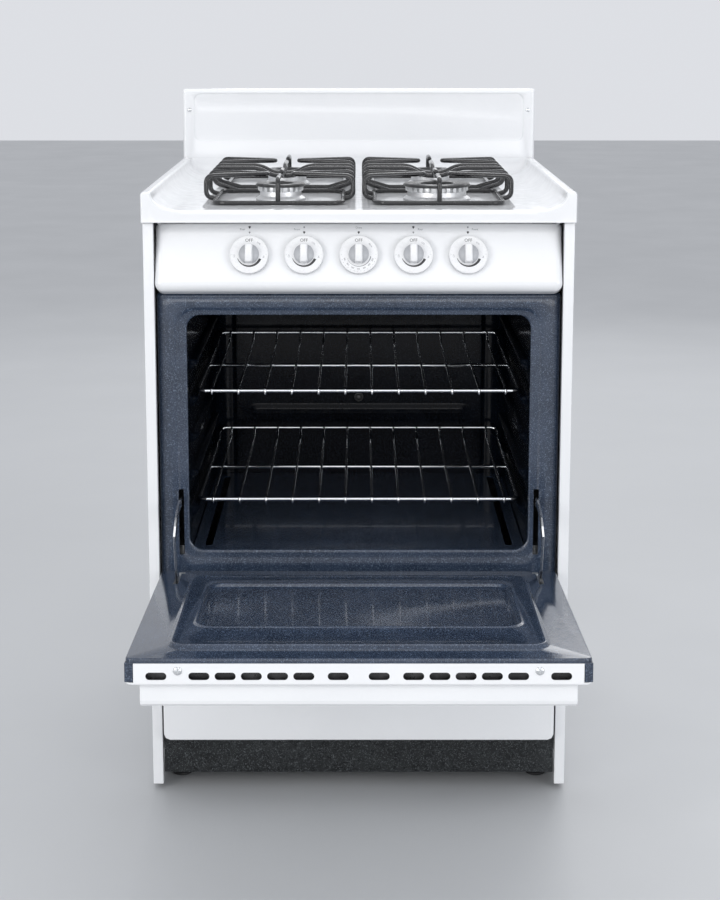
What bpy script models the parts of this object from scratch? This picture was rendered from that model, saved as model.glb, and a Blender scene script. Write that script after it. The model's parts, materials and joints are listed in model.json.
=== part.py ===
"""Freestanding 24-inch gas range, standing with its oven door open.

Metres, +Z up. +X is the cook's right and +Y runs to the back. The origin lies on the floor,
below the middle of the whole object with its door open. Local coordinates under the empty
"range" start at the front plane of the side panels.
"""

import math

import bmesh
import bpy
from mathutils import Matrix, Vector

# Overall size
HALF_WIDTH = 0.305          # over the side panels
BODY_DEPTH = 0.598          # side panels, front to back
BACK = 0.640                # back of the backguard
HEIGHT = 1.010              # top of the backguard
SHEET = 0.002               # pressed steel
GAP = 0.0003                # between pieces that rest on each other

# Cabinet
PANEL_LOW = 0.008           # underside of the side panels
PANEL_TOP = 0.8465          # top of the side panels, under the cooktop
FLANGE = 0.015              # width of a side panel's folded front edge
INNER_X = 0.2890            # half width of what stands between the side panels
FEET_X, FEET_Y = 0.268, (0.062, 0.550)

# Cooktop
TOP_HALF = 0.307
TOP_FRONT = -0.008
TOP_BACK = 0.5997
TOP_Z = 0.865               # main surface
APRON_Z = 0.8476            # lower edge of the skirt
RAIL_Z = 0.8907             # side rails
COVE = 0.022                # radius of the hollow between surface and rail
WELL_DROP = 0.0022          # shallow well under each pair of burners
WELL_X = (0.0110, 0.2240)
WELL_Y = (0.0120, 0.5400)

# Burners and grates
BURNER_X, BURNER_Y = 0.117, (0.170, 0.420)
CAP_SMALL, CAP_LARGE = 0.0375, 0.0505
CAP_Z = 0.8830
BURNER_LOW = 0.8200          # underside of the burner bodies
GRATE_HALF = 0.094          # base ring, middle of its rod
GRATE_OUT = 0.1085          # bow of the fingers outside the ring
GRATE_ROD, GRATE_SIDES = 0.0035, 6
WELD = 0.0012               # a welded rod starts this far past the middle of the other
GRATE_RING_Z = TOP_Z - WELL_DROP + GRATE_ROD + GAP
GRATE_TOP_Z = 0.9010        # middle of the fingers' rod

# Control panel and knobs
PANEL_TILT = math.radians(20.0)
PANEL_POINT = (0.0067, 0.799)   # y and z of the knob line on the panel's face
PANEL_HALF = 0.2890
PANEL_UP, PANEL_DOWN = 0.0480, 0.0500
PANEL_DEEP = 0.0260
PANEL_ROLL = 0.0120
KNOB_PITCH = 0.0775
KNOB_R = 0.0275
KNOB_OFF = 0.0045           # knob's back above the panel
STEM_R = 0.0030
MANIFOLD_R = 0.0085
MANIFOLD_DEPTH = 0.0660     # behind the panel's face

# Oven
FRAME_Y = (0.0180, 0.0260)  # face frame
FRAME_Z = (0.2980, 0.7440)
MOUTH_HALF = 0.2470
MOUTH_Z = (0.3620, 0.7110)
MOUTH_R = 0.0200
CAVITY_HALF = 0.2485
CAVITY_BACK = 0.5150
CAVITY_TOP = 0.7150
FLOOR_Z = 0.3500
WALL = 0.0025
REAR_R = 0.0350             # upright rear corners of the oven
RACK_LEVELS = (0.4190, 0.4745, 0.5300, 0.5850, 0.6405)
RACK_HALF, RACK_DEEP = 0.2390, 0.4050
RACK_ROD, RACK_WIRE = 0.0030, 0.0020
RACK_WIRES = 12

# Door, in the hinge's frame: y is minus the distance from the hinge, z points into the oven
HINGE = (0.0, -0.0060, 0.3170)
DOOR_TILT = math.radians(3.0)   # the open door's free edge stands a little high
DOOR_HALF = 0.2865
DOOR_LONG = 0.4180
DOOR_OUT, DOOR_IN = -0.0115, 0.0225
LINER_Z = 0.0163            # underside of the door liner's plate
PLUG = (0.0475, 0.380, 0.236, 0.0060)    # start, end, half width, rise
DISH = (0.097, 0.300, 0.207, 0.0040)    # start, end, half width, depth
ARM_X = (0.2570, 0.2600)
ARM_R, ARM_WIDE = 0.1220, 0.0120
SLOT_X = (0.2545, 0.2625)
SLOT_Z = (0.3550, 0.4550)
NOTCH_X, NOTCH_LONG = (0.2500, 0.2665), 0.0180
VENT_X = (0.025, 0.067, 0.099, 0.131, 0.163, 0.195, 0.2475)
VENT_LONG, VENT_HIGH = 0.0256, 0.0095
SCREW_X, SCREW_Z = 0.2210, 0.0070
SCREW_HIGH, SCREW_TIP_R = 0.0020, 0.0028

# Broiler drawer and base
DRAWER_Z = (0.0830, 0.3010)
DRAWER_Y = (-0.0160, -0.0010)
TRAY_HALF, TRAY_BACK = 0.2350, 0.4800
TRAY_Z = (0.0900, 0.2100)
KICK_Y, KICK_Z = 0.0040, (0.0250, 0.0800)

# The screw heads on the open door's edge are the front of the whole object.
DOOR_REACH = ((DOOR_LONG + SCREW_HIGH + GAP) * math.cos(DOOR_TILT)
              - (SCREW_Z - SCREW_TIP_R) * math.sin(DOOR_TILT) - HINGE[1])
FRONT_Y = (DOOR_REACH - BACK) / 2


def clear_scene():
    for obj in list(bpy.data.objects):
        bpy.data.objects.remove(obj, do_unlink=True)


def material(name, color, roughness, metallic=0.0):
    """A Principled BSDF material, made once and shared by name."""
    found = bpy.data.materials.get(name)
    if found:
        return found
    made = bpy.data.materials.new(name)
    made.use_nodes = True
    shader = made.node_tree.nodes["Principled BSDF"]
    shader.inputs["Base Color"].default_value = (*color, 1.0)
    shader.inputs["Roughness"].default_value = roughness
    shader.inputs["Metallic"].default_value = metallic
    made.diffuse_color = (*color, 1.0)
    return made


def white_enamel():
    return material("white_enamel", (0.86, 0.87, 0.88), 0.15)


def dark_enamel():
    return material("dark_enamel", (0.030, 0.040, 0.060), 0.25)


def black_iron():
    return material("black_iron", (0.012, 0.012, 0.013), 0.35)


def chrome():
    return material("chrome", (0.80, 0.81, 0.83), 0.15, 1.0)


def aluminium():
    return material("aluminium", (0.74, 0.74, 0.75), 0.35, 1.0)


def steel():
    return material("galvanised_steel", (0.55, 0.56, 0.57), 0.40, 1.0)


def brass():
    return material("brass", (0.70, 0.52, 0.24), 0.35, 1.0)


def white_plastic():
    return material("white_plastic", (0.84, 0.85, 0.86), 0.30)


def wool():
    return material("glass_wool", (0.78, 0.72, 0.50), 0.95)


# ---- Shapes -------------------------------------------------------------------------------------


def arc(center, radius, start, end, steps):
    """Points on an arc, from start to end in degrees."""
    turns = [math.radians(start + (end - start) * k / steps) for k in range(steps + 1)]
    return [(center[0] + radius * math.cos(a), center[1] + radius * math.sin(a)) for a in turns]


def rounded_rectangle(low, high, radius, steps=3):
    """A rectangle's outline from its lower left corner round, with rounded corners."""
    (x0, y0), (x1, y1) = low, high
    corners = (((x0 + radius, y0 + radius), 180), ((x1 - radius, y0 + radius), 270),
               ((x1 - radius, y1 - radius), 0), ((x0 + radius, y1 - radius), 90))
    outline = []
    for center, start in corners:
        outline += arc(center, radius, start, start + 90, steps)
    return outline


def prism(bm, outline, low, high, axis="Z"):
    """Extrudes an outline along an axis. The outline's plane is XY, XZ or YZ."""
    place = {"X": lambda a, b, c: (c, a, b), "Y": lambda a, b, c: (a, c, b),
             "Z": lambda a, b, c: (a, b, c)}[axis]
    rings = [[bm.verts.new(place(a, b, level)) for a, b in outline] for level in (low, high)]
    bm.faces.new(rings[0])
    bm.faces.new(rings[1])
    for k in range(len(outline)):
        n = (k + 1) % len(outline)
        bm.faces.new((rings[0][k], rings[0][n], rings[1][n], rings[1][k]))


def block(bm, low, high):
    corners = [(low[0], low[1]), (high[0], low[1]), (high[0], high[1]), (low[0], high[1])]
    prism(bm, corners, low[2], high[2])


def lathe(bm, profile, segments, center=(0.0, 0.0)):
    """Turns a (radius, height) profile about a vertical axis. A radius of 0 closes it."""
    rings = []
    for radius, height in profile:
        if radius == 0:
            rings.append([bm.verts.new((center[0], center[1], height))])
            continue
        turns = [2 * math.pi * k / segments for k in range(segments)]
        rings.append([bm.verts.new((center[0] + radius * math.cos(a),
                                    center[1] + radius * math.sin(a), height)) for a in turns])
    closed = profile[0][0] != 0
    pairs = list(zip(rings, rings[1:])) + ([(rings[-1], rings[0])] if closed else [])
    for first, second in pairs:
        for k in range(segments):
            n = (k + 1) % segments
            corners = [first[k % len(first)], first[n % len(first)],
                       second[n % len(second)], second[k % len(second)]]
            bm.faces.new(list(dict.fromkeys(corners)))


def bent(points, radius, steps=2):
    """Rounds the inner corners of a path of points."""
    points = [Vector(p) for p in points]
    path = [points[0]]
    for before, corner, after in zip(points, points[1:], points[2:]):
        reach = min(radius, (before - corner).length / 2, (after - corner).length / 2)
        start = corner + (before - corner).normalized() * reach
        end = corner + (after - corner).normalized() * reach
        for k in range(steps + 1):
            t = k / steps
            path.append(start * (1 - t) ** 2 + corner * 2 * t * (1 - t) + end * t ** 2)
    return path + [points[-1]]


def rod(bm, path, radius, sides=6, closed=False):
    """A round bar along a path, with flat ends unless it closes on itself."""
    path = [Vector(p) for p in path]
    count = len(path)
    rings = []
    side = None
    for k, point in enumerate(path):
        after = path[(k + 1) % count] if closed or k < count - 1 else point
        before = path[k - 1] if closed or k > 0 else point
        along = (after - before).normalized()
        if side is None:
            side = along.orthogonal().normalized()
            if abs(along.z) < 0.9:
                side = Vector((0, 0, 1))
        side = (side - along * side.dot(along)).normalized()
        other = along.cross(side)
        turns = [2 * math.pi * (j + 0.5) / sides for j in range(sides)]
        rings.append([bm.verts.new(point + (side * math.cos(a) + other * math.sin(a)) * radius)
                      for a in turns])
    pairs = list(zip(rings, rings[1:])) + ([(rings[-1], rings[0])] if closed else [])
    for first, second in pairs:
        for j in range(sides):
            n = (j + 1) % sides
            bm.faces.new((first[j], first[n], second[n], second[j]))
    if not closed:
        bm.faces.new(rings[0])
        bm.faces.new(rings[-1])


def put(name, bm, mat, parent, location=(0.0, 0.0, 0.0), smooth=None):
    """Makes an object from a bmesh. smooth is the sharpest angle, in degrees, left smooth."""
    bmesh.ops.recalc_face_normals(bm, faces=bm.faces)
    mesh = bpy.data.meshes.new(name)
    bm.to_mesh(mesh)
    bm.free()
    if smooth is not None:
        mesh.shade_smooth()
        mesh.set_sharp_from_angle(angle=math.radians(smooth))
    obj = bpy.data.objects.new(name, mesh)
    bpy.context.scene.collection.objects.link(obj)
    obj.parent = parent
    obj.location = location
    if mat:
        mesh.materials.append(mat)
    return obj


def combine(obj, bm, operation, self_union=False):
    """Adds a Boolean modifier whose other body is a hidden helper beside the object."""
    other = put(obj.name + "_" + operation.lower(), bm, None, obj.parent, obj.location)
    other.hide_render = True
    other.display_type = "WIRE"
    modifier = obj.modifiers.new(operation.lower(), "BOOLEAN")
    modifier.operation = operation
    modifier.solver = "EXACT"
    modifier.use_self = self_union
    modifier.object = other


def cut(obj, bm):
    combine(obj, bm, "DIFFERENCE")


def join(obj, bm):
    combine(obj, bm, "UNION", self_union=True)


def empty(name, parent, location, turn_x=0.0):
    obj = bpy.data.objects.new(name, None)
    bpy.context.scene.collection.objects.link(obj)
    obj.parent = parent
    obj.location = location
    obj.rotation_euler = (turn_x, 0.0, 0.0)
    return obj


def sides():
    """The name and sign of the left and right sides."""
    return (("left", -1), ("right", 1))


# ---- Cabinet ------------------------------------------------------------------------------------


def side_panels(root):
    """Each panel is one folded sheet with a flange at its front and back edges."""
    inner = HALF_WIDTH - SHEET
    fold = HALF_WIDTH - FLANGE
    for name, sign in sides():
        outline = [(HALF_WIDTH, 0), (HALF_WIDTH, BODY_DEPTH), (fold, BODY_DEPTH),
                   (fold, BODY_DEPTH - SHEET), (inner, BODY_DEPTH - SHEET), (inner, SHEET),
                   (fold + SHEET, SHEET), (fold + SHEET, 0.012), (fold, 0.012), (fold, 0)]
        bm = bmesh.new()
        prism(bm, [(sign * x, y) for x, y in outline], PANEL_LOW, PANEL_TOP)
        put("side_panel_" + name, bm, white_enamel(), root)


def back_panel(root):
    """A flat sheet with rows of vent slots and a hole for the gas inlet."""
    bm = bmesh.new()
    low = (-INNER_X, BODY_DEPTH - 0.0015)
    block(bm, (*low, 0.030), (INNER_X, BODY_DEPTH, PANEL_TOP - 0.0035))
    obj = put("back_panel", bm, steel(), root)
    holes = bmesh.new()
    for k in range(5):
        x = (k - 2) * 0.090
        outline = rounded_rectangle((x - 0.030, 0.791), (x + 0.030, 0.799), 0.0039, 1)
        prism(holes, outline, BODY_DEPTH - 0.01, BODY_DEPTH + 0.01, "Y")
    outline = arc((0.240, 0.110), 0.018, 0, 337.5, 15)
    prism(holes, outline, BODY_DEPTH - 0.01, BODY_DEPTH + 0.01, "Y")
    cut(obj, holes)


def base_frame(root):
    """Two side channels joined by cross members, with a corner plate over each foot."""
    rail_low, rail_high = 0.0240, 0.0620
    bm = bmesh.new()
    channel = [(INNER_X, rail_low), (INNER_X, rail_high), (0.2590, rail_high),
               (0.2590, rail_high - SHEET), (INNER_X - SHEET, rail_high - SHEET),
               (INNER_X - SHEET, rail_low + 0.003), (0.2450, rail_low + 0.003),
               (0.2450, rail_low)]
    prism(bm, channel, 0.0340, 0.5900, "Y")
    obj = put("base_frame", bm, steel(), root)
    more = bmesh.new()
    prism(more, [(-x, z) for x, z in channel], 0.0340, 0.5900, "Y")
    for y in FEET_Y:
        block(more, (-0.2500, y - 0.020, rail_low + 0.0004), (0.2500, y + 0.020, rail_low + 0.0026))
    join(obj, more)
    holes = bmesh.new()
    for y in FEET_Y:
        for _, sign in sides():
            lathe(holes, [(0, 0.01), (0.0046, 0.01), (0.0046, 0.04), (0, 0.04)], 12,
                  (sign * FEET_X, y))
    cut(obj, holes)


def levelling_feet(root):
    """Each foot is a round pad with a threaded stud that screws into the base frame."""
    profile = [(0, 0), (0.0150, 0), (0.0150, 0.005), (0.0095, 0.009), (0.0095, 0.0200),
               (0.0040, 0.0200), (0.0040, 0.0500), (0, 0.0500)]
    for end, y in zip(("front", "rear"), FEET_Y):
        for name, sign in sides():
            bm = bmesh.new()
            lathe(bm, profile, 10)
            place = (sign * FEET_X, y, 0)
            put(f"levelling_foot_{end}_{name}", bm, black_iron(), root, place, smooth=40)


def kick_panel(root):
    (low, high), y = KICK_Z, KICK_Y
    outline = [(y, low), (y, high), (y + 0.022, high), (y + 0.022, high - SHEET),
               (y + SHEET, high - SHEET), (y + SHEET, low)]
    bm = bmesh.new()
    prism(bm, outline, -0.2885, 0.2885, "X")
    put("kick_panel", bm, dark_enamel(), root)


def front_frame(root):
    """The oven's face frame, with a rounded mouth and a slot for each door arm."""
    bm = bmesh.new()
    outline = rounded_rectangle((-INNER_X, FRAME_Z[0]), (INNER_X, FRAME_Z[1]), 0.004, 1)
    prism(bm, outline, *FRAME_Y, "Y")
    obj = put("front_frame", bm, dark_enamel(), root)
    holes = bmesh.new()
    mouth = rounded_rectangle((-MOUTH_HALF, MOUTH_Z[0]), (MOUTH_HALF, MOUTH_Z[1]), MOUTH_R, 4)
    prism(holes, mouth, 0, 0.05, "Y")
    for _, sign in sides():
        x0, x1 = sorted((sign * SLOT_X[0], sign * SLOT_X[1]))
        block(holes, (x0, 0, SLOT_Z[0]), (x1, 0.05, SLOT_Z[1]))
    cut(obj, holes)


def oven_outline(half, front, back, radius):
    """Plan of the oven: square at the mouth, rounded at the rear corners."""
    right = arc((half - radius, back - radius), radius, 0, 90, 3)
    left = arc((radius - half, back - radius), radius, 90, 180, 3)
    return [(half, front), *right, *left, (-half, front)]


def oven_liner(root):
    """The enamelled oven box. It is open at the front, and below, where the floor plate lies."""
    front = FRAME_Y[1] + GAP
    low = FLOOR_Z - 0.0100
    bm = bmesh.new()
    prism(bm, oven_outline(CAVITY_HALF + WALL, front, CAVITY_BACK + WALL, REAR_R + WALL),
          low, CAVITY_TOP + WALL)
    obj = put("oven_liner", bm, dark_enamel(), root)
    inside = bmesh.new()
    prism(inside, oven_outline(CAVITY_HALF, front - 0.01, CAVITY_BACK, REAR_R),
          low + WALL, CAVITY_TOP)
    prism(inside, oven_outline(CAVITY_HALF - 0.014, front - 0.01, CAVITY_BACK - 0.014, 0.020),
          low - 0.01, low + 0.01)
    combine(obj, inside, "DIFFERENCE", self_union=True)
    ledges = bmesh.new()
    for level in RACK_LEVELS:
        high = level - RACK_ROD - 0.0004
        outline = [(CAVITY_HALF + 0.001, high - 0.014), (CAVITY_HALF - 0.004, high - 0.012),
                   (CAVITY_HALF - 0.012, high - 0.003), (CAVITY_HALF - 0.012, high),
                   (CAVITY_HALF + 0.001, high)]
        for _, sign in sides():
            prism(ledges, [(sign * x, z) for x, z in outline], 0.070, 0.460, "Y")
    combine(obj, ledges, "UNION")


def oven_floor(root):
    """The lift-out floor plate, with a long slot at each side for the flame's heat."""
    bm = bmesh.new()
    outline = oven_outline(CAVITY_HALF - 0.001, FRAME_Y[1] + 0.002, CAVITY_BACK - 0.001, REAR_R)
    prism(bm, outline, FLOOR_Z - SHEET, FLOOR_Z)
    obj = put("oven_floor", bm, dark_enamel(), root)
    holes = bmesh.new()
    for _, sign in sides():
        x = sign * 0.2255
        prism(holes, rounded_rectangle((x - 0.0055, 0.085), (x + 0.0055, 0.490), 0.0054, 2),
              FLOOR_Z - 0.01, FLOOR_Z + 0.01)
    cut(obj, holes)


def oven_insulation(root):
    """Glass wool over the oven's top, sides and back, as one folded blanket."""
    half, thick = CAVITY_HALF + WALL + 0.0010, 0.0180
    back = CAVITY_BACK + WALL + 0.0010
    top = CAVITY_TOP + WALL + 0.0010
    bm = bmesh.new()
    block(bm, (-half - thick, 0.165, FLOOR_Z), (half + thick, back + thick, top + thick))
    obj = put("oven_insulation", bm, wool(), root)
    inside = bmesh.new()
    block(inside, (-half, 0.10, FLOOR_Z - 0.01), (half, back, top))
    cut(obj, inside)


def liner_fastener(root):
    """The round stud that holds the oven's back wall."""
    bm = bmesh.new()
    lathe(bm, [(0, 0), (0.0080, 0), (0.0080, 0.002), (0.0050, 0.005), (0, 0.0055)], 12)
    obj = put("liner_fastener", bm, steel(), root, (0.0, CAVITY_BACK - GAP, 0.485), smooth=40)
    obj.rotation_euler = (math.pi / 2, 0, 0)


def thermostat_bulb(root):
    """The sensing bulb of the oven's thermostat, held under the roof at the right."""
    x, z = 0.222, CAVITY_TOP - 0.024
    bm = bmesh.new()
    path = [(x, 0.240, z), (x, 0.440, z), (x, 0.480, z + 0.010), (x, 0.480, CAVITY_TOP - GAP)]
    rod(bm, [(x, 0.240, z), (x, 0.425, z)], 0.0045, 8)
    obj = put("thermostat_bulb", bm, chrome(), root, smooth=50)
    more = bmesh.new()
    rod(more, bent(path[1:], 0.010), 0.0018, 6)
    rod(more, [(x, 0.415, z), (x, 0.442, z)], 0.0022, 6)
    join(obj, more)


# ---- Cooktop ------------------------------------------------------------------------------------


def mirrored(half_outline):
    """Adds the left half to the right half of an outline."""
    return half_outline + [(-x, z) for x, z in reversed(half_outline)]


def cooktop(root):
    """A pressed top with a skirt, raised side rails, hollow corners and two shallow wells."""
    center = (TOP_HALF - 0.017 - COVE, TOP_Z + COVE)
    outside = [(TOP_HALF, APRON_Z), (TOP_HALF, RAIL_Z - 0.005),
               *arc((TOP_HALF - 0.005, RAIL_Z - 0.005), 0.005, 30, 90, 2),
               (center[0] + COVE + 0.003, RAIL_Z), *arc(center, COVE, 0, -90, 4)]
    bm = bmesh.new()
    prism(bm, mirrored(outside), TOP_FRONT, TOP_BACK, "Y")
    obj = put("cooktop", bm, white_enamel(), root, smooth=40)
    skin = 0.0042
    inside = [(TOP_HALF - 0.0025, APRON_Z - 0.01), (TOP_HALF - 0.0025, RAIL_Z - 0.0045),
              (center[0] + COVE + skin + 0.001, RAIL_Z - 0.0045),
              *arc(center, COVE + skin, -8, -90, 3)]
    hollow = bmesh.new()
    prism(hollow, mirrored(inside), TOP_FRONT + 0.0025, TOP_BACK - 0.0025, "Y")
    cut(obj, hollow)
    wells = bmesh.new()
    for _, sign in sides():
        x0, x1 = sorted((sign * WELL_X[0], sign * WELL_X[1]))
        outline = rounded_rectangle((x0, WELL_Y[0]), (x1, WELL_Y[1]), 0.030, 3)
        prism(wells, outline, TOP_Z - WELL_DROP, TOP_Z + 0.01)
    cut(obj, wells)
    holes = bmesh.new()
    for y in BURNER_Y:
        for _, sign in sides():
            prism(holes, arc((sign * BURNER_X, y), 0.0240, 0, 345, 23), TOP_Z - 0.01, TOP_Z + 0.01)
    cut(obj, holes)


def backguard(root):
    """A hollow upright behind the cooktop, open at its back, with a raised front panel."""
    front = TOP_BACK + GAP
    bm = bmesh.new()
    outline = [(front, APRON_Z), (front, HEIGHT - 0.006),
               *arc((front + 0.006, HEIGHT - 0.006), 0.006, 150, 90, 2), (BACK, HEIGHT),
               (BACK, APRON_Z)]
    prism(bm, outline, -HALF_WIDTH, HALF_WIDTH, "X")
    obj = put("backguard", bm, white_enamel(), root, smooth=40)
    hollow = bmesh.new()
    block(hollow, (-HALF_WIDTH + SHEET, front + 0.0045, APRON_Z - 0.01),
          (HALF_WIDTH - SHEET, BACK + 0.01, HEIGHT - SHEET))
    cut(obj, hollow)
    groove = bmesh.new()
    outer = rounded_rectangle((-0.2900, HEIGHT - 0.100), (0.2900, HEIGHT - 0.008), 0.020, 3)
    inner = rounded_rectangle((-0.2860, HEIGHT - 0.096), (0.2860, HEIGHT - 0.012), 0.016, 3)
    prism(groove, outer, front - 0.01, front + 0.0015, "Y")
    cut(obj, groove)
    field = bmesh.new()
    prism(field, inner, front, front + 0.003, "Y")
    combine(obj, field, "UNION")


def burners(root):
    """Each burner is a toothless aluminium body with a loose ring-shaped cap on it."""
    for end, y in zip(("front", "rear"), BURNER_Y):
        for name, sign in sides():
            large = (end, name) == ("front", "right")
            cap_r = CAP_LARGE if large else CAP_SMALL
            rim = cap_r - 0.003
            floor = TOP_Z - WELL_DROP + GAP
            base = [(0, BURNER_LOW), (0.0220, BURNER_LOW), (0.0220, floor), (rim + 0.0015, floor),
                    (rim + 0.0015, floor + 0.004), (rim, floor + 0.006), (rim, CAP_Z - GAP),
                    (cap_r * 0.5, CAP_Z - GAP), (cap_r * 0.44, CAP_Z - 0.008), (0, CAP_Z - 0.008)]
            bm = bmesh.new()
            lathe(bm, base, 16)
            place = (sign * BURNER_X, y, 0)
            put(f"burner_base_{end}_{name}", bm, aluminium(), root, place, smooth=35)
            cap = [(cap_r * 0.5, CAP_Z), (cap_r, CAP_Z), (cap_r, CAP_Z + 0.0025),
                   (cap_r - 0.003, CAP_Z + 0.0045), (cap_r * 0.5, CAP_Z + 0.0045)]
            bm = bmesh.new()
            lathe(bm, cap, 16)
            put(f"burner_cap_{end}_{name}", bm, black_iron(), root, place, smooth=35)


def hairpin(sign):
    """A finger bent double: up out of the ring, in to the burner, round its tip and back."""
    low, high, out = GRATE_RING_Z, GRATE_TOP_Z, GRATE_OUT
    tip = 0.0055
    start = Vector((sign * (GRATE_HALF - WELD), 0.038, low))
    prong = bent([start, (sign * out, 0.038, low + 0.004), (sign * out, 0.038, high),
                  (sign * 0.025, tip, high)], 0.009, 1)
    turn = [Vector((sign * x, y, high)) for x, y in arc((0.025, 0), tip, 120, 240, 2)]
    return prong + turn + [Vector((x, -y, z)) for x, y, z in reversed(prong)]


def grate_rods(back):
    """Paths of one grate about its burner. back is 1 on a front grate and -1 on a rear one."""
    low, high, out = GRATE_RING_Z, GRATE_TOP_Z, GRATE_OUT
    edge, far, dip = back * GRATE_HALF, back * 0.100, high - 0.012
    near_finger = [(0, -edge, low - WELD), (0, -edge, high), (0, -back * 0.030, high)]
    half_bar = [(0.070, edge - back * WELD, low), (out, far, low + 0.012), (out, far, high),
                (0.038, far, high), (0.016, far, dip)]
    far_bar = half_bar + [(-x, y, z) for x, y, z in reversed(half_bar)]
    far_finger = [(0, far + back * WELD, dip), (0, back * 0.082, high), (0, back * 0.030, high)]
    paths = [bent(path, 0.009, 1) for path in (near_finger, far_bar, far_finger)]
    return paths + [hairpin(-1), hairpin(1)]


def grates(root):
    """Four bent-rod grates: a base ring, hairpin fingers at the sides, single ones between."""
    half = GRATE_HALF
    ring = [(x, y, GRATE_RING_Z) for x, y in rounded_rectangle((-half, -half), (half, half), 0.02, 2)]
    for end, y, back in (("front", BURNER_Y[0], 1), ("rear", BURNER_Y[1], -1)):
        for name, sign in sides():
            bm = bmesh.new()
            rod(bm, ring, GRATE_ROD, GRATE_SIDES, closed=True)
            place = (sign * BURNER_X, y, 0)
            obj = put(f"grate_{end}_{name}", bm, black_iron(), root, place, smooth=50)
            more = bmesh.new()
            for path in grate_rods(back):
                rod(more, path, GRATE_ROD, GRATE_SIDES)
            join(obj, more)


# ---- Controls -----------------------------------------------------------------------------------


def knob_places():
    """Name and x of each knob. The middle one turns the oven's thermostat."""
    names = ("rear_left", "front_left", "oven", "rear_right", "front_right")
    return [(name, (k - 2) * KNOB_PITCH) for k, name in enumerate(names)]


def control_panel(face):
    """In the panel's own frame: y runs up its slope and z stands out of its face."""
    roll = arc((-PANEL_DOWN + PANEL_ROLL, -PANEL_ROLL), PANEL_ROLL, 90, 180, 4)
    outline = [(PANEL_UP, 0), *roll, (-PANEL_DOWN, -PANEL_DEEP), (PANEL_UP, -PANEL_DEEP)]
    bm = bmesh.new()
    prism(bm, outline, -PANEL_HALF, PANEL_HALF, "X")
    obj = put("control_panel", bm, white_enamel(), face, smooth=40)
    inner = arc((-PANEL_DOWN + PANEL_ROLL, -PANEL_ROLL), PANEL_ROLL - SHEET, 90, 180, 3)
    pocket = [(PANEL_UP - SHEET, -SHEET), *inner, (-PANEL_DOWN + SHEET, -PANEL_DEEP - 0.01),
              (PANEL_UP - SHEET, -PANEL_DEEP - 0.01)]
    hollow = bmesh.new()
    prism(hollow, pocket, -PANEL_HALF + SHEET, PANEL_HALF - SHEET, "X")
    cut(obj, hollow)
    holes = bmesh.new()
    for _, x in knob_places():
        lathe(holes, [(0, -0.01), (0.0050, -0.01), (0.0050, 0.01), (0, 0.01)], 12, (x, 0))
    cut(obj, holes)


def knobs(face):
    """Each knob has a wide skirt, a low hub and a grip bar, and a bore for its valve stem."""
    for name, x in knob_places():
        bm = bmesh.new()
        low = KNOB_OFF
        skirt = [(0, low), (KNOB_R - 0.001, low), (KNOB_R, low + 0.0015), (KNOB_R, low + 0.0035),
                 (KNOB_R - 0.0045, low + 0.0055), (0.0150, low + 0.0055), (0.0140, low + 0.0085),
                 (0, low + 0.0085)]
        lathe(bm, skirt, 16)
        obj = put("knob_" + name, bm, white_plastic(), face, (x, 0, 0), smooth=40)
        grip = bmesh.new()
        prism(grip, rounded_rectangle((-0.0052, -0.0125), (0.0052, 0.0125), 0.003, 2),
              low + 0.002, low + 0.0190)
        join(obj, grip)
        bore = bmesh.new()
        lathe(bore, [(0, 0), (STEM_R + GAP, 0), (STEM_R + GAP, 0.0130), (0, 0.0130)], 12)
        cut(obj, bore)
        stem = bmesh.new()
        lathe(stem, [(0, -0.0400), (STEM_R, -0.0400), (STEM_R, -0.0200), (0.0055, -0.0200),
                     (0.0055, -0.0180), (STEM_R, -0.0180), (STEM_R, 0.0120), (0, 0.0120)], 8)
        put("valve_stem_" + name, stem, brass(), face, (x, 0, 0), smooth=40)


def gas_manifold(root, face):
    """The pipe behind the panel, its four valves and the thermostat, and the burners' tubes."""
    deep = -MANIFOLD_DEPTH
    bm = bmesh.new()
    rod(bm, [(-0.190, 0, deep), (0.200, 0, deep)], MANIFOLD_R, 8)
    obj = put("gas_manifold", bm, aluminium(), face, smooth=50)
    more = bmesh.new()
    for name, x in knob_places():
        if name == "oven":
            block(more, (x - 0.022, -0.020, deep - 0.004), (x + 0.022, 0.020, -0.0280))
        else:
            lathe(more, [(0, deep), (0.0095, deep), (0.0095, -0.0280), (0, -0.0280)], 8, (x, 0))
    to_face = (Matrix.Translation((0, *PANEL_POINT))
               @ Matrix.Rotation(math.pi / 2 - PANEL_TILT, 4, "X")).inverted()
    start_y, start_z = 0.0700, 0.7790
    for name, x in knob_places():
        if name == "oven":
            continue
        sign = 1 if x > 0 else -1
        end_y = BURNER_Y[0] if name.startswith("front") else BURNER_Y[1]
        turn_y = end_y - (0.03 if name.startswith("front") else 0.10)
        path = [(x, start_y, start_z), (x, turn_y, start_z), (sign * BURNER_X, end_y, BURNER_LOW - 0.0330),
                (sign * BURNER_X, end_y, BURNER_LOW - 0.0005)]
        rod(more, [to_face @ Vector(p) for p in bent(path, 0.015, 2)], 0.0040, 6)
    join(obj, more)
    bores = bmesh.new()
    for _, x in knob_places():
        lathe(bores, [(0, -0.0460), (STEM_R + GAP, -0.0460), (STEM_R + GAP, -0.0200),
                      (0, -0.0200)], 12, (x, 0))
    cut(obj, bores)


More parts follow.
